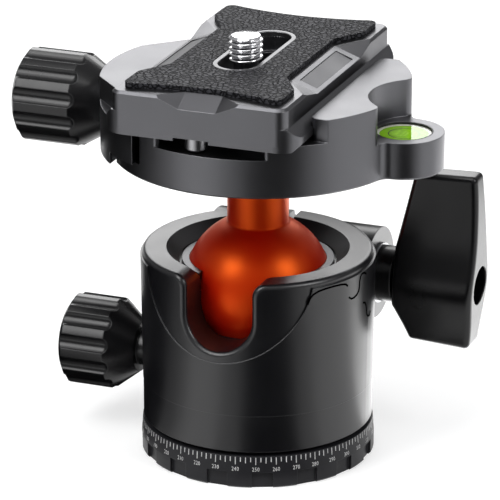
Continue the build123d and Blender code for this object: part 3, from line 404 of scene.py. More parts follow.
# ---- finishes ------------------------------------------------------------------------
@dataclass(frozen=True)
class Finish:
    """One surface finish, made into a material on its first use.

    Attributes:
        name: Name of the material.
        colour: Main colour, linear.
        wear_and_highlight_colour: Colour on edges, linear: partly wear, partly a painted highlight along
            the edges.
        metallic: Principled metallic.
        roughness: Mean roughness.
        spread: How much the broad grain moves the roughness.
        mottle: How much the broad grain moves the colour.
        fine: Fine grain, features for each metre.
        broad: Broad grain, features for each metre.
        depth: Height of the fine grain, in metres.
        edge: Radius of the softened edges, in metres.
        wear_and_highlight: How strongly edges take that colour of wear and painted highlight.
        ior: Index of refraction, which sets how much the surface mirrors head on.
        tint: Tint of the mirrored light.
    """

    name: str
    colour: Colour
    wear_and_highlight_colour: Colour
    metallic: float = 0.0
    roughness: float = 0.4
    spread: float = 0.06
    mottle: float = 0.15
    fine: float = 9000.0
    broad: float = 130.0
    depth: float = 0.000004
    edge: float = 0.00025
    wear_and_highlight: float = 0.5
    ior: float = 1.5
    tint: Colour = (1.0, 1.0, 1.0)

    def material(self) -> bpy.types.Material:
        """The finish's material, built once."""
        if self.name not in MADE:
            MADE[self.name] = self.build()
        return MADE[self.name]

    def build(self) -> bpy.types.Material:
        """Builds the node material.

        Returns:
            The new material: grain drives colour, roughness and bump, edges are softened and take the edge
                colour, which is partly wear and partly a painted highlight.
        """
        material = bpy.data.materials.new("finish_" + self.name)
        material.use_nodes = True
        tree = material.node_tree
        nodes, links = tree.nodes, tree.links
        shader = nodes["Principled BSDF"]
        shader.inputs["Metallic"].default_value = self.metallic
        shader.inputs["IOR"].default_value = self.ior
        shader.inputs["Specular Tint"].default_value = (*self.tint, 1.0)
        grain = nodes.new("ShaderNodeGroup")
        grain.node_tree = SHADES.grain()
        grain.inputs["Fine"].default_value = self.fine
        grain.inputs["Broad"].default_value = self.broad
        edges = nodes.new("ShaderNodeGroup")
        edges.node_tree = SHADES.edges()
        edges.inputs["Radius"].default_value = self.edge
        dark, pale = ((*(c * (1 + side * self.mottle) for c in self.colour), 1.0) for side in (-1, 1))
        tone = blend(tree, grain.outputs["Tone"], dark, pale)
        # Edge colour: partly wear, partly a painted highlight along the edges.
        mask = calculate(tree, "MULTIPLY", edges.outputs["Mask"], self.wear_and_highlight)
        links.new(blend(tree, mask, tone, (*self.wear_and_highlight_colour, 1.0)), shader.inputs["Base Color"])
        rough = nodes.new("ShaderNodeMapRange")
        rough.inputs["To Min"].default_value = self.roughness - self.spread
        rough.inputs["To Max"].default_value = self.roughness + self.spread
        links.new(grain.outputs["Tone"], rough.inputs["Value"])
        links.new(rough.outputs["Result"], shader.inputs["Roughness"])
        normal = raise_normal(tree, grain.outputs["Height"], self.depth, edges.outputs["Normal"])
        links.new(normal, shader.inputs["Normal"])
        return material


@dataclass(frozen=True)
class LeatherGrain(Finish):
    """Rubber moulded with a coarse leather-like wrinkle, its crests painted paler as a painted highlight
    and its crevices left dark as painted shade.
    """

    wrinkle: float = 1050.0
    warp: float = 0.9
    wrinkle_depth: float = 0.00022
    crevice: float = 0.22
    crest_painted_highlight: float = 10.0

    def build(self) -> bpy.types.Material:
        """Adds the wrinkles' height, and paler crests as a painted highlight over crevices in painted
        shade, to the plain finish.

        Returns:
            The new material.
        """
        material = super().build()
        tree = material.node_tree
        nodes, links = tree.nodes, tree.links
        shader = nodes["Principled BSDF"]
        place = nodes.new("ShaderNodeTexCoord")
        warp = nodes.new("ShaderNodeTexNoise")
        warp.inputs["Scale"].default_value = self.wrinkle / 2
        links.new(place.outputs["Object"], warp.inputs["Vector"])
        push = nodes.new("ShaderNodeVectorMath")
        push.operation = "MULTIPLY_ADD"
        push.inputs[1].default_value = (self.warp / self.wrinkle,) * 3
        links.new(warp.outputs["Color"], push.inputs[0])
        links.new(place.outputs["Object"], push.inputs[2])
        cells = nodes.new("ShaderNodeTexVoronoi")
        cells.feature = "DISTANCE_TO_EDGE"
        cells.inputs["Scale"].default_value = self.wrinkle
        links.new(push.outputs["Vector"], cells.inputs["Vector"])
        crest = nodes.new("ShaderNodeMapRange")
        crest.inputs["From Max"].default_value = self.crevice
        links.new(cells.outputs["Distance"], crest.inputs["Value"])
        height = crest.outputs["Result"]
        plain = shader.inputs["Normal"].links[0].from_socket
        links.new(raise_normal(tree, height, self.wrinkle_depth, plain), shader.inputs["Normal"])
        # Painted light: crests paler as a painted highlight, crevices darker as painted shade.
        plain = shader.inputs["Base Color"].links[0].from_socket
        pale = (*(self.crest_painted_highlight * c for c in self.colour), 1.0)
        links.new(blend(tree, height, plain, pale), shader.inputs["Base Color"])
        return material


@dataclass(frozen=True)
class TurnedMetal(Finish):
    """Bright metal with fine turning marks round the Z axis through a centre."""

    centre: Colour = (0.0, 0.0, 0.0)
    pitch: float = 4000.0
    mark: float = 0.000003

    def build(self) -> bpy.types.Material:
        """Adds the turning marks' height to the plain finish.

        Returns:
            The new material.
        """
        material = super().build()
        nodes, links = material.node_tree.nodes, material.node_tree.links
        shader = nodes["Principled BSDF"]
        marks = nodes.new("ShaderNodeGroup")
        marks.node_tree = SHADES.turned()
        marks.inputs["Centre"].default_value = self.centre
        marks.inputs["Pitch"].default_value = self.pitch
        plain = shader.inputs["Normal"].links[0].from_socket
        normal = raise_normal(material.node_tree, marks.outputs["Height"], self.mark, plain)
        links.new(normal, shader.inputs["Normal"])
        return material


@dataclass(frozen=True)
class Clear(Finish):
    """Clear plastic that light passes through, also on its way to what lies under it."""

    transmission: float = 1.0

    def build(self) -> bpy.types.Material:
        """Makes the plain finish let sight and light through.

        Returns:
            The new material: glass to the eye, and transparent to rays from lamps.
        """
        material = super().build()
        nodes, links = material.node_tree.nodes, material.node_tree.links
        shader, end = nodes["Principled BSDF"], nodes["Material Output"]
        shader.inputs["Transmission Weight"].default_value = self.transmission
        path = nodes.new("ShaderNodeLightPath")
        lamp = calculate(material.node_tree, "MAXIMUM", path.outputs["Is Shadow Ray"],
                         path.outputs["Is Diffuse Ray"])
        clear = nodes.new("ShaderNodeBsdfTransparent")
        mix = nodes.new("ShaderNodeMixShader")
        links.new(lamp, mix.inputs[0])
        links.new(shader.outputs[0], mix.inputs[1])
        links.new(clear.outputs[0], mix.inputs[2])
        links.new(mix.outputs[0], end.inputs["Surface"])
        return material


BLACK_ANODISED = Finish(
    "black_anodised", (0.0045, 0.0045, 0.0058), (0.05, 0.05, 0.056), roughness=0.32, wear_and_highlight=0.5,
    edge=0.0002, ior=1.62,
)
SCALE_BLACK = Finish(
    "scale_black", (0.018, 0.018, 0.0205), (0.04, 0.04, 0.044), roughness=0.36, wear_and_highlight=0.4,
    edge=0.0002, ior=1.3,
)
BLACK_MOULDING = Finish(
    "black_moulding", (0.0045, 0.0045, 0.005), (0.05, 0.05, 0.053), roughness=0.25, wear_and_highlight=0.4,
    edge=0.0003, fine=6000.0, depth=0.000004, ior=1.45,
)
BLACK_GLOSS = Finish(
    "black_gloss", (0.0022, 0.0022, 0.0026), (0.02, 0.02, 0.022), roughness=0.25, wear_and_highlight=0.4,
    edge=0.00045, fine=6000.0, depth=0.000003, ior=1.4,
)
GREY_ANODISED = Finish(
    "grey_anodised", (0.130, 0.130, 0.138), (0.26, 0.26, 0.27), metallic=1.0, roughness=0.36,
    mottle=0.05, wear_and_highlight=0.5, edge=0.0002,
)
DARK_SATIN = Finish(
    "dark_satin", (0.034, 0.034, 0.037), (0.12, 0.12, 0.13), metallic=1.0, roughness=0.3, mottle=0.05,
    wear_and_highlight=0.4,
)
CUT_ALUMINIUM = Finish(
    "cut_aluminium", (0.16, 0.16, 0.166), (0.3, 0.3, 0.31), metallic=1.0, roughness=0.38, mottle=0.05,
    wear_and_highlight=0.4, edge=0.0001,
)
PANEL_GREY = Finish(
    "panel_grey", (0.072, 0.072, 0.077), (0.1, 0.1, 0.105), metallic=1.0, roughness=0.40, mottle=0.05,
    wear_and_highlight=0.3, edge=0.00008,
)
ORANGE_ANODISED = Finish(
    "orange_anodised", (0.66, 0.004, 0.001), (0.50, 0.02, 0.002), metallic=0.30, roughness=0.38,
    mottle=0.05, wear_and_highlight=0.2, edge=0.0001, spread=0.03, ior=2.3, tint=(1.0, 0.48, 0.05),
)
PLAIN_STEEL = TurnedMetal(
    "plain_steel", (0.36, 0.36, 0.37), (0.6, 0.6, 0.62), metallic=1.0, roughness=0.28, mottle=0.08
)
BRIGHT_STEEL = TurnedMetal(
    "bright_steel", (0.86, 0.86, 0.88), (0.95, 0.95, 0.97), metallic=1.0, roughness=0.09,
    spread=0.02, mottle=0.02, edge=0.00008, depth=0.000001, mark=0.000001,
)
BRASS = TurnedMetal("turned_brass", (0.62, 0.42, 0.14), (0.8, 0.6, 0.25), metallic=1.0, roughness=0.3)
PAD_RUBBER = LeatherGrain(
    "grained_rubber", (0.005, 0.005, 0.0056), (0.012, 0.012, 0.013), roughness=0.42, wear_and_highlight=0.3,
    mottle=0.2, ior=1.12,
)
WHITE_NYLON = Finish("natural_acetal", (0.66, 0.65, 0.60), (0.75, 0.74, 0.70), roughness=0.45)
BLACK_NYLON = Finish("black_nylon", (0.010, 0.010, 0.011), (0.04, 0.04, 0.042), roughness=0.45)
LEVEL_LIQUID = Finish(
    "level_liquid", (0.26, 0.56, 0.006), (0.26, 0.56, 0.006), roughness=0.12, mottle=0.08, wear_and_highlight=0.0
)
LEVEL_BUBBLE = Finish(
    "level_bubble", (0.33, 0.66, 0.03), (0.5, 0.8, 0.12), roughness=0.08, mottle=0.05, wear_and_highlight=0.5
)
LEVEL_CLEAR = Clear("clear_acrylic", (0.96, 0.99, 0.93), (1.0, 1.0, 1.0), roughness=0.03, spread=0.01,
                    mottle=0.01, wear_and_highlight=0.0, depth=0.0, ior=1.49)
PRINT_WHITE = Finish("white_paint", (0.72, 0.72, 0.72), (0.8, 0.8, 0.8), roughness=0.55, mottle=0.25,
                     broad=900.0, wear_and_highlight=0.0)
# Near black under any light: painted shade in the grooves that end the collar's relief.
GROOVE_SHADE_BLACK = Finish("painted_groove_shade", (0.001, 0.001, 0.001), (0.002, 0.002, 0.002), roughness=0.6, wear_and_highlight=0.0,
                    ior=1.02)
# Black for the level's printed circle, and for the ring of painted shade round its window.
PRINT_AND_SHADE_BLACK = Finish("black_print_and_painted_shade", (0.008, 0.008, 0.008), (0.02, 0.02, 0.02), roughness=0.5, wear_and_highlight=0.0)


def dress(node: str, finish: Finish) -> None:
    """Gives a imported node's mesh its finish.

    Args:
        node: Name of the node.
        finish: Finish that it takes.
    """
    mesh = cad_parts[node].data
    mesh.materials.clear()
    mesh.materials.append(finish.material())


def seat(piece: bpy.types.Object, finish: Finish, body: str) -> None:
    """Finishes a new piece, and makes it ride on a body.

    Args:
        piece: The new piece.
        finish: Finish that it takes.
        body: Body that carries it.
    """
    piece.data.materials.clear()
    piece.data.materials.append(finish.material())
    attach(piece, body)
    log.info("%s: %d faces on %s", piece.name, len(piece.data.polygons), body)


# ---- panning base -----------------------------------------------------------------------
@dataclass
class PanningBase:
    """The base with its degree scale: ticks every 2.5 degrees and a number every 10."""

    body: str = "base"
    band_low: float = 3.1 * MM
    taper: float = 0.25 * MM
    tick_step: float = 2.5
    tick_width: float = 0.17 * MM
    tick_top: float = 6.15 * MM
    long_tick: float = 1.45 * MM
    middle_tick: float = 1.15 * MM
    short_tick: float = 0.9 * MM
    number_step: int = 10
    number_height: float = 0.80 * MM
    number_z: float = 3.45 * MM
    number_squeeze: float = 0.8
    figure_share: float = 0.72
    figure_space: float = 1.1
    proud: float = 0.012 * MM
    front_degrees: float = 230.0

    def radius(self, height: np.ndarray) -> np.ndarray:
        """Radius of the scale band: it falls evenly from its lower edge to its top.

        Args:
            height: Heights in metres.

        Returns:
            Radii in metres.
        """
        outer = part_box("pan_base")[1][0]
        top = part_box("pan_washer")[0][2]
        return outer - self.taper * (height - self.band_low) / (top - self.band_low)

    def ticks(self) -> bpy.types.Object:
        """Painted ticks that hang from the band's top edge, as thin blocks round the cone."""
        count = round(360 / self.tick_step)
        index = np.arange(count)
        angle = np.radians(index * self.tick_step)
        length = np.where(index % 4 == 0, self.long_tick,
                          np.where(index % 2 == 0, self.middle_tick, self.short_tick))
        height = self.tick_top - length / 2
        lean = self.taper / (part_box("pan_washer")[0][2] - self.band_low)
        outs = np.stack((np.cos(angle), np.sin(angle), np.full(count, lean)), axis=1)
        outs /= np.linalg.norm(outs, axis=1, keepdims=True)
        sides = np.stack((-np.sin(angle), np.cos(angle), 0 * angle), axis=1)
        ups = np.cross(outs, sides)
        reach = self.radius(height)
        centres = np.stack((reach * np.cos(angle), reach * np.sin(angle), height), axis=1)
        sizes = np.stack((np.full(count, self.tick_width), length, np.full(count, 2 * self.proud)), axis=1)
        return many_blocks("scale_ticks", centres, sides, ups, outs, sizes)

    def numbers(self) -> bpy.types.Object:
        """Numbers every ten degrees, as flat text wrapped round the band.

        A point at x across the text and y up it goes to the angle x over the radius, at its
        height on the cone.
        """
        points, faces = [], []
        offset = 0
        for step in range(0, 360, self.number_step):
            label = bpy.data.curves.new("number", "FONT")
            label.body = str(step)
            label.align_x = "CENTER"
            label.size = self.number_height / self.figure_share
            label.space_character = self.figure_space
            label.resolution_u = 2
            holder = bpy.data.objects.new("number", label)
            mesh = bpy.data.meshes.new_from_object(holder)
            flat = np.empty(3 * len(mesh.vertices))
            mesh.vertices.foreach_get("co", flat)
            flat = flat.reshape(-1, 3)
            height = self.number_z + flat[:, 1]
            reach = self.radius(height) + self.proud
            angle = math.radians(step - self.front_degrees - 90)
            angle = angle + self.number_squeeze * flat[:, 0] / reach
            points.append(np.stack((reach * np.cos(angle), reach * np.sin(angle), height), axis=1))
            faces += [[offset + v for v in face.vertices] for face in mesh.polygons]
            offset += len(flat)
            bpy.data.objects.remove(holder)
            bpy.data.curves.remove(label)
            bpy.data.meshes.remove(mesh)
        return mesh_object("scale_numbers", np.concatenate(points), faces)

    def build(self) -> None:
        """Dresses the base and adds its scale."""
        dress("pan_base", SCALE_BLACK)
        dress("thread_insert", PLAIN_STEEL)
        dress("pan_washer", BLACK_NYLON)
        for piece in (self.ticks(), self.numbers()):
            seat(piece, PRINT_WHITE, self.body)


# ---- collar ---------------------------------------------------------------------------------
@dataclass
class Collar:
    """The split collar with its seats, its hidden pieces and dark strips of painted shade along the
    grooves that end its relief.

    Each line is a row of (direction, height) corners on the collar's skin, in degrees from -Y
    towards +X and in millimetres.
    """

    body: str = "collar"
    line_width: float = 0.36 * MM
    line_proud: float = 0.05 * MM
    skin_low: tuple[float, float] = (21.88 * MM, 14.3 * MM)
    skin_high: tuple[float, float] = (22.2 * MM, 38.9 * MM)
    shoulder: tuple[tuple[float, float], ...] = (
        (45.4, 36.0), (46.6, 37.1), (48.4, 37.8), (51.3, 38.25), (55.0, 38.45), (60.0, 38.5), (64.5, 38.4),
        (68.0, 38.1), (69.5, 37.6),
    )
    hook: tuple[tuple[float, float], ...] = (
        (86.3, 38.0), (84.0, 38.5), (81.6, 38.6), (80.1, 38.2), (79.4, 37.4), (79.3, 36.4), (78.6, 35.5),
        (77.0, 35.0), (74.8, 34.7), (72.6, 34.7), (70.6, 35.2),
    )
    small_hook: tuple[tuple[float, float], ...] = (
        (83.4, 32.6), (85.8, 32.3), (86.9, 31.6), (87.6, 30.5), (88.3, 29.6), (90.0, 29.0), (92.3, 28.9),
        (93.9, 29.5),
    )

    def line(self, name: str, corners: tuple[tuple[float, float], ...]) -> bpy.types.Object:
        """Makes one line as a thin strip that follows the collar's round: a near-black strip of painted
        groove shade.

        The strip's middle runs through the corners, and its edges lie half a width to either
        side, square to the way it runs on the unrolled skin. The skin's radius grows evenly
        with its height.

        Args:
            name: Name of the piece.
            corners: Directions and heights along the line.

        Returns:
            The strip, a closed mesh of four sides.
        """
        turn = np.radians([corner[0] for corner in corners])
        height = np.array([corner[1] for corner in corners]) * MM
        reach = np.interp(height, *zip(self.skin_low[::-1], self.skin_high[::-1]))
        run = np.stack((np.gradient(reach * turn), np.gradient(height)), axis=1)
        run /= np.linalg.norm(run, axis=1, keepdims=True)
        rows = []
        for side, lift in ((-1, -1), (1, -1), (1, 1), (-1, 1)):
            a = turn - side * self.line_width / 2 * run[:, 1] / reach
            z = height + side * self.line_width / 2 * run[:, 0]
            r = reach + lift * self.line_proud
            rows.append(np.stack((r * np.sin(a), -r * np.cos(a), z), axis=1))
        return surface(name, np.stack(rows, axis=1), closed_columns=True, capped=True)

    def build(self) -> None:
        """Dresses the collar's pieces and adds the lines of painted groove shade."""
        # Each line is a near-black strip: painted shade of a groove.
        lines = (("shoulder_line", self.shoulder), ("hook_line", self.hook),
                 ("small_hook_line", self.small_hook))
        for name, corners in lines:
            seat(self.line(name, corners), GROOVE_SHADE_BLACK, self.body)
        dress("housing", BLACK_ANODISED)
        for node in ("cup_spring", "lock_nut", "drum_keeper"):
            dress(node, PLAIN_STEEL)
        dress("ball_cup", BLACK_NYLON)
        dress("seat_ring", DARK_SATIN)


# ---- locks ------------------------------------------------------------------------------------
@dataclass
class Locks:
    """The lever that clamps the ball and the knob that clamps the base."""

    def build(self) -> None:
        """Dresses the locks' pieces."""
        dress("lever", BLACK_GLOSS)
        dress("pan_lock_knob", BLACK_MOULDING)
        dress("lever_collar", BLACK_GLOSS)
        for node in ("lock_washer", "lock_stud", "lever_screw", "pan_lock_stud"):
            dress(node, PLAIN_STEEL)
        dress("pan_brake_pad", BRASS)


# ---- clamp --------------------------------------------------------------------------------------
@dataclass
class ClampHead:
    """The clamp with its jaw, knob and round level."""

    body: str = "clamp"
    ring_radius: float = 2.78 * MM
    ring_width: float = 0.19 * MM
    ring_thick: float = 0.02 * MM
    ring_steps: int = 96
    painted_shade_ring_radius: float = 5.16 * MM
    painted_shade_ring_width: float = 0.2 * MM
    painted_shade_ring_low: float = 0.4 * MM
    painted_shade_ring_high: float = 0.3 * MM

    def ring(self, name: str, inner: float, wide: float, low: float, high: float) -> bpy.types.Object:
        """Makes a thin turned ring about the level's axis.

        Args:
            name: Name of the piece.
            inner: Inner radius in metres.
            wide: Width of its wall.
            low: Height of its lower face.
            high: Height of its upper face.

        Returns:
            The ring, a closed mesh.
        """
        box_low, box_high = (Vector(corner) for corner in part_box("level_window"))
        profile = np.array([(inner, low), (inner + wide, low), (inner + wide, high), (inner, high)])
        points = lathe(profile, self.ring_steps)
        points[..., 0] += (box_low.x + box_high.x) / 2
        points[..., 1] += (box_low.y + box_high.y) / 2
        return surface(name, points, closed_rows=True, closed_columns=True)

    def level_rings(self) -> tuple[bpy.types.Object, bpy.types.Object]:
        """The printed circle that the bubble is read against, and a black ring round the window that
        paints the shade on the wall of its recess.
        """
        window_low, window_high = (corner[2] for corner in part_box("level_window"))
        printed = self.ring("level_ring", self.ring_radius, self.ring_width, window_low,
                            window_low + self.ring_thick)
        # Black ring round the window: painted shade of the recess wall.
        painted_shade_ring = self.ring("level_painted_shade_ring", self.painted_shade_ring_radius, self.painted_shade_ring_width,
                          window_high - self.painted_shade_ring_low, window_high + self.painted_shade_ring_high)
        return printed, painted_shade_ring

    def build(self) -> None:
        """Dresses the clamp and adds the level's printed ring and its ring of painted shade."""
        for node in ("clamp_body", "jaw"):
            dress(node, GREY_ANODISED)
        for node in ("clamp_bolt", "guide_pins", "jaw_springs", "jaw_washer", "clamp_stud"):
            dress(node, PLAIN_STEEL)
        dress("clamp_knob", BLACK_MOULDING)
        dress("level_cup", WHITE_NYLON)
        dress("level_liquid", LEVEL_LIQUID)
        dress("level_bubble", LEVEL_BUBBLE)
        dress("level_window", LEVEL_CLEAR)
        for piece in self.level_rings():
            seat(piece, PRINT_AND_SHADE_BLACK, self.body)


# ---- quick-release plate ------------------------------------------------------------------------
@dataclass
class QuickPlate:
    """The plate with its rubber pad, its stop screws, the bright rim of its slot and its side panels."""

    body: str = "quick_plate"
    slot_y: float = 0.85 * MM
    slot_radius: float = 3.7 * MM
    slot_straight: float = 8.65 * MM
    edge_wide: float = 0.90 * MM
    edge_bevel: float = 0.12 * MM
    edge_below_pad: float = 0.06 * MM
    edge_sunk: float = 0.1 * MM
    arc_steps: int = 24
    panel_long: float = 19.0 * MM
    panel_wide: float = 3.45 * MM
    panel_thick: float = 0.2 * MM
    panel_below: float = 0.05 * MM
    panel_in: float = 2.5 * MM
    panel_down: float = 1.0 * MM
    panel_top_half: float = 17.0 * MM
    panel_slope: tuple[float, float] = (2.0, 5.0)

    def outline(self, grow: float) -> np.ndarray:
        """Corners of the slot's outline, a half circle round each end joined by straight sides.

        Args:
            grow: How far outside the slot's wall the outline runs.

        Returns:
            Rows of x and y about the slot's middle.
        """
        turn = np.linspace(0, math.pi, self.arc_steps)
        arc = (self.slot_radius + grow) * np.stack((np.cos(turn), np.sin(turn)), axis=1)
        end = np.array((0, self.slot_straight))
        return np.concatenate((arc + end, -arc - end))

    def slot_edge(self) -> bpy.types.Object:
        """Raised rim of the slot, with a bevelled inner edge, almost level with the pad's top."""
        low, high = (Vector(corner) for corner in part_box("plate"))
        pad_low, pad_high = (corner[2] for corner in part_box("plate_pad"))
        bottom, top = pad_low - self.edge_sunk, pad_high - self.edge_below_pad
        rows = []
        for grow, height in ((0.0, bottom), (0.0, top - self.edge_bevel), (self.edge_bevel, top),
                             (self.edge_wide, top), (self.edge_wide, bottom)):
            flat = self.outline(grow)
            rows.append(np.column_stack((flat, np.full(len(flat), height))))
        points = np.stack(rows)
        points[..., 0] += (low.x + high.x) / 2
        points[..., 1] += self.slot_y
        return surface("slot_edge", points, closed_rows=True, closed_columns=True)

    def panels(self) -> bpy.types.Object:
        """Bare inlays of the two side panels, thin blocks that lie in the slanted scoops."""
        low, high = (Vector(corner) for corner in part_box("plate"))
        drop, run = self.panel_slope
        slant = math.hypot(drop, run)
        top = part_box("plate_pad")[0][2]
        centres, sides, ups, outs = [], [], [], []
        for side in (1, -1):
            out = np.array((side * drop, 0, run)) / slant
            up = np.array((-side * run, 0, drop)) / slant
            middle = np.array(((low.x + high.x) / 2 + side * (self.panel_top_half - self.panel_in), 0,
                               top - self.panel_down))
            centres.append(middle - out * (self.panel_below + self.panel_thick / 2))
            sides.append(np.array((0.0, 1.0, 0.0)))
            ups.append(up)
            outs.append(out)
        size = np.array([(self.panel_long, self.panel_wide, self.panel_thick)] * 2)
        return many_blocks("side_panels", np.array(centres), np.array(sides), np.array(ups),
                           np.array(outs), size)

    def build(self) -> None:
        """Dresses the plate's pieces and adds the slot's rim and the panels."""
        seat(self.panels(), PANEL_GREY, self.body)
        seat(self.slot_edge(), CUT_ALUMINIUM, self.body)
        dress("plate", GREY_ANODISED)
        dress("plate_pad", PAD_RUBBER)
        dress("stop_screws", PLAIN_STEEL)
        dress("screw_washer", BLACK_NYLON)


@dataclass
class CameraScrew:
    """The polished quarter-inch screw: rounded thread, neck, and a head with a coin slot."""

    body: str = "screw"
    pitch: float = 1.06 * MM
    major: float = 3.175 * MM
    depth: float = 0.62 * MM
    neck: float = 2.3 * MM
    thread_long: float = 4.8 * MM
    tip: float = 0.55 * MM
    dome: float = 0.18 * MM
    head_radius: float = 6.0 * MM
    head_high: float = 2.19 * MM
    head_edge: float = 0.35 * MM
    coin_long: float = 18.0 * MM
    coin_wide: float = 1.6 * MM
    coin_deep: float = 1.2 * MM
    groove_power: float = 1.3
    dome_end: float = 0.02
    axis_radius: float = 0.02 * MM
    steps_round: int = 96
    steps_pitch: int = 18
    dome_rows: int = 8

    def place(self) -> tuple[float, float, float, float]:
        """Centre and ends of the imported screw: x, y, low z and high z."""
        low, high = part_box("camera_screw")
        return (low[0] + high[0]) / 2, (low[1] + high[1]) / 2, low[2], high[2]

    def thread(self) -> bpy.types.Object:
        """Helical thread with a domed end, as one surface over height and angle.

        The radius is the major radius less a depth that goes up and down as a cosine of the
        phase, which is the height over the pitch less the angle over a turn. Near the end the
        radius stays inside a cone, and then closes over the dome, a parabola of revolution.
        """
        x, y, _, high = self.place()
        low, shoulder = high - self.thread_long, high - self.dome
        rows = round((shoulder - low) / self.pitch * self.steps_pitch)
        height = np.linspace(low, shoulder, rows)[:, None]
        angle = np.arange(self.steps_round)[None] * TURN / self.steps_round
        phase = height / self.pitch - angle / TURN
        groove = self.depth * (0.5 - 0.5 * np.cos(TURN * phase)) ** self.groove_power
        cone = self.major - self.tip + np.minimum(shoulder - height, self.tip)
        radius = np.maximum(np.minimum(self.major - groove, cone), self.neck)
        radius[0] = self.neck
        share = np.linspace(1, self.dome_end, self.dome_rows)[1:, None]
        radius = np.concatenate((radius, share * radius[-1:]))
        height = np.concatenate((height, shoulder + self.dome * (1 - share**2)))
        across, along = x + radius * np.cos(angle), y + radius * np.sin(angle)
        points = np.stack((across, along, height + 0 * angle), axis=-1)
        return surface("camera_screw_thread", points, closed_columns=True, capped=True)

    def shank(self) -> bpy.types.Object:
        """Neck and head, a turned profile, with the coin slot cut across the head."""
        x, y, low, high = self.place()
        top = low + self.head_high
        edge, neck_top = self.head_edge, high - self.thread_long + self.pitch / 2
        profile = np.array([
            (self.axis_radius, low), (self.head_radius - edge, low), (self.head_radius, low + edge),
            (self.head_radius, top), (self.neck, top), (self.neck, neck_top),
            (self.axis_radius, neck_top),
        ])
        points = lathe(profile, self.steps_round)
        points[..., 0] += x
        points[..., 1] += y
        piece = surface("camera_screw_shank", points, closed_columns=True, capped=True)
        return cut(piece, self.coin(x, y, low))

    def coin(self, x: float, y: float, low: float) -> bpy.types.Object:
        """Makes the block that leaves the coin slot when it is cut from the head.

        Args:
            x: Its middle along X.
            y: Its middle along Y.
            low: Height of the head's lower face.

        Returns:
            The block.
        """
        axes = [np.array([axis], float) for axis in np.eye(3)]
        size = np.array([[self.coin_long, self.coin_wide, 2 * self.coin_deep]])
        return many_blocks("coin_cut", np.array([[x, y, low]]), axes[0], axes[1], axes[2], size)

    def build(self) -> None:
        """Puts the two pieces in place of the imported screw."""
        for piece in (self.thread(), self.shank()):
            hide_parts("camera_screw")
            seat(piece, BRIGHT_STEEL, self.body)


@dataclass
class BallStem:
    """The anodised ball and its stem."""

    def build(self) -> None:
        """Dresses the ball."""
        dress("ball", ORANGE_ANODISED)


# ---- studio --------------------------------------------------------------------------------------
@dataclass(frozen=True)
class Softbox:
    """A square area light that looks at the object.

    Attributes:
        name: Name of the light.
        azimuth: Direction from the object in degrees, 0 towards -Y and 90 towards +X.
        elevation: Degrees above the floor.
        width: Width in metres.
        height: Height in metres.
        power: Watts.
        distance: Metres from the object.
    """

    name: str
    azimuth: float
    elevation: float
    width: float
    height: float
    power: float
    distance: float = 0.9

    def build(self, target: Vector) -> None:
        """Places the light.

        Args:
            target: Point that it looks at.
        """
        a, e = math.radians(self.azimuth), math.radians(self.elevation)
        back = Vector((math.sin(a) * math.cos(e), -math.cos(a) * math.cos(e), math.sin(e)))
        lamp = bpy.data.lights.new(self.name, "AREA")
        lamp.shape = "RECTANGLE"
        lamp.size, lamp.size_y = self.width, self.height
        lamp.energy = self.power
        holder = bpy.data.objects.new(self.name, lamp)
        holder.location = target + back * self.distance
        holder.rotation_euler = (-back).to_track_quat("-Z", "Y").to_euler()
        bpy.context.scene.collection.objects.link(holder)


@dataclass(frozen=True)
class Card:
    """A card that only mirrored rays meet: a sector round the object, level, upright or sloping.

    Attributes:
        name: Name of the card.
        start: First direction in degrees, 0 towards -Y and 90 towards +X.
        end: Last direction in degrees.
        near: Radius in metres where it begins.
        far: Radius in metres where it ends.
        low: Height in metres where it begins.
        high: Height in metres where it ends.
        glow: Light that it gives, or 0 for a black card.
        around: Points over its direction.
        across: Points from its near to its far edge.
    """

    name: str
    start: float
    end: float
    near: float = 26.0 * MM
    far: float = 1.2
    low: float = 0.2 * MM
    high: float = 0.2 * MM
    glow: float = 0.0
    around: int = 13
    across: int = 4

    def build(self) -> None:
        """Makes the card: a grid over direction, and over the way from its near to its far edge."""
        turn = np.radians(np.linspace(self.start, self.end, self.around))[:, None]
        share = np.linspace(0, 1, self.across)[None]
        reach = self.near + share * (self.far - self.near)
        height = self.low + share * (self.high - self.low)
        points = np.stack((reach * np.sin(turn), -reach * np.cos(turn), height + 0 * turn), axis=-1)
        faces = grid_faces(self.around, self.across, False, False).tolist()
        card = mesh_object(self.name, points.reshape(-1, 3), faces)
        material = bpy.data.materials.new(self.name)
        material.use_nodes = True
        shader = material.node_tree.nodes["Principled BSDF"]
        shader.inputs["Base Color"].default_value = (0.0, 0.0, 0.0, 1.0)
        shader.inputs["Specular IOR Level"].default_value = 0.0
        shader.inputs["Emission Color"].default_value = (1.0, 1.0, 1.0, 1.0)
        shader.inputs["Emission Strength"].default_value = self.glow
        card.data.materials.append(material)
        card.visible_camera = False
        card.visible_diffuse = False
        card.visible_shadow = False
        card.visible_transmission = False


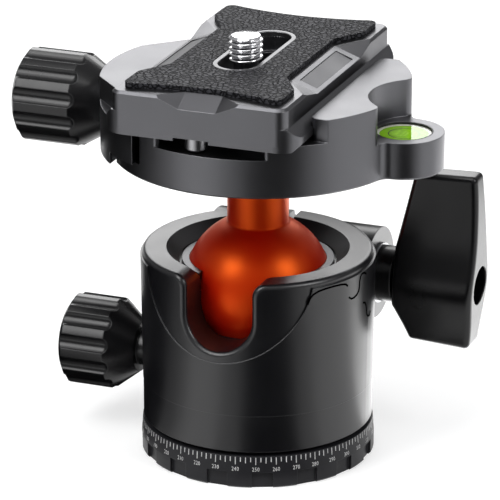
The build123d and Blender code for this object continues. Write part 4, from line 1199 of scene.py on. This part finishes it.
@dataclass
class Studio:
    """Pale floor, soft surroundings, lights, cards and the camera."""

    camera_turn: float = math.radians(21.17)
    camera_distance: float = 700.0 * MM
    camera_height: float = 297.95 * MM
    camera_side: float = -1.522 * MM
    camera_pitch: float = 0.354
    focal_pixels: float = 3960.4
    image_pixels: float = 500.0
    sensor: float = 36.0
    floor_half: float = 3.0
    floor_steps: int = 3
    floor_glow: float = 0.52
    floor_colour: Colour = (0.60, 0.60, 0.60)
    world_low: Colour = (0.20, 0.20, 0.205)
    world_high: Colour = (0.42, 0.42, 0.425)
    target_height: float = 50.0 * MM

    def camera(self) -> None:
        """Places the camera, turned about the object's axis and looking down."""
        turn, pitch = self.camera_turn, self.camera_pitch
        across = Vector((math.cos(turn), math.sin(turn), 0))
        along = Vector((-math.sin(turn), math.cos(turn), 0))
        view = along * math.cos(pitch) - Vector((0, 0, math.sin(pitch)))
        data = bpy.data.cameras.new("camera")
        data.sensor_width = self.sensor
        data.lens = self.focal_pixels * self.sensor / self.image_pixels
        data.clip_start, data.clip_end = 0.05, 20.0
        camera = bpy.data.objects.new("camera", data)
        place = across * self.camera_side - along * self.camera_distance
        camera.location = place + Vector((0, 0, self.camera_height))
        camera.rotation_euler = view.to_track_quat("-Z", "Y").to_euler()
        bpy.context.scene.collection.objects.link(camera)
        bpy.context.scene.camera = camera

    def floor(self) -> None:
        """Lays the pale floor: it takes shadows, and glows a little to the eye, in metal and in glass."""
        steps = np.linspace(-self.floor_half, self.floor_half, self.floor_steps)
        x, y = np.meshgrid(steps, steps, indexing="ij")
        points = np.stack((x, y, 0 * x), axis=-1)
        faces = grid_faces(self.floor_steps, self.floor_steps, False, False).tolist()
        floor = mesh_object("floor", points.reshape(-1, 3), faces)
        material = bpy.data.materials.new("floor")
        material.use_nodes = True
        tree = material.node_tree
        shader = tree.nodes["Principled BSDF"]
        shader.inputs["Base Color"].default_value = (*self.floor_colour, 1.0)
        shader.inputs["Roughness"].default_value = 0.9
        shader.inputs["Specular IOR Level"].default_value = 0.0
        shader.inputs["Emission Color"].default_value = (1.0, 1.0, 1.0, 1.0)
        path = tree.nodes.new("ShaderNodeLightPath")
        seen = path.outputs["Is Camera Ray"]
        for label in ("Is Glossy Ray", "Is Transmission Ray"):
            seen = calculate(tree, "MAXIMUM", seen, path.outputs[label])
        glow = calculate(tree, "MULTIPLY", seen, self.floor_glow)
        tree.links.new(glow, shader.inputs["Emission Strength"])
        floor.data.materials.append(material)

    def world(self) -> None:
        """Surroundings: an even grey that lightens upwards, the same to every ray."""
        world = bpy.data.worlds.new("studio")
        bpy.context.scene.world = world
        world.use_nodes = True
        nodes, links = world.node_tree.nodes, world.node_tree.links
        shader = nodes["Background"]
        place = nodes.new("ShaderNodeTexCoord")
        split = nodes.new("ShaderNodeSeparateXYZ")
        links.new(place.outputs["Generated"], split.inputs[0])
        ramp = nodes.new("ShaderNodeValToRGB")
        for stop, colour in zip(ramp.color_ramp.elements, (self.world_low, self.world_high)):
            stop.color = (*colour, 1.0)
        links.new(split.outputs["Z"], ramp.inputs["Fac"])
        links.new(ramp.outputs["Color"], shader.inputs["Color"])

    def build(self) -> None:
        """Sets up the studio."""
        bpy.context.scene.view_settings.view_transform = "Standard"
        self.camera()
        self.floor()
        self.world()
        target = Vector((0, 0, self.target_height))
        lights = (
            Softbox("overhead", -30, 72, 0.7, 0.7, 3.8),
            Softbox("left_box", -32, 42, 0.34, 0.5, 3.0),
            Softbox("right_box", 78, 38, 0.34, 0.5, 2.8),
            Softbox("back_box", 199, 26, 0.72, 0.45, 3.6),
        )
        for light in lights:
            light.build(target)
        cards = (
            Card("front_flag", 8, 52),
            Card("front_grey_left", -10, 8, glow=0.65),
            Card("front_grey_right", 52, 68, glow=0.65),
            Card("left_flag", -122, -66),
            Card("left_grey", -66, -50, glow=0.30),
            Card("left_pale", -50, -40, glow=0.70),
            Card("edge_card", 116, 180, near=30 * MM, far=200 * MM, low=0.4 * MM, high=0.4 * MM, glow=3.0),
            Card("back_flag", 175, 207, near=63 * MM, far=63 * MM, high=60 * MM),
        )
        for card in cards:
            card.build()


def main() -> None:
    """Builds the looks in order: base, collar, locks, ball, clamp, plate, screw, studio."""
    logging.basicConfig(level=logging.INFO, format="%(name)s: %(message)s")
    parts = (PanningBase(), Collar(), Locks(), BallStem(), ClampHead(), QuickPlate(), CameraScrew())
    for part in parts:
        part.build()
        log.info("%s is dressed", type(part).__name__)
    Studio().build()


if __name__ == "__main__":
    main()
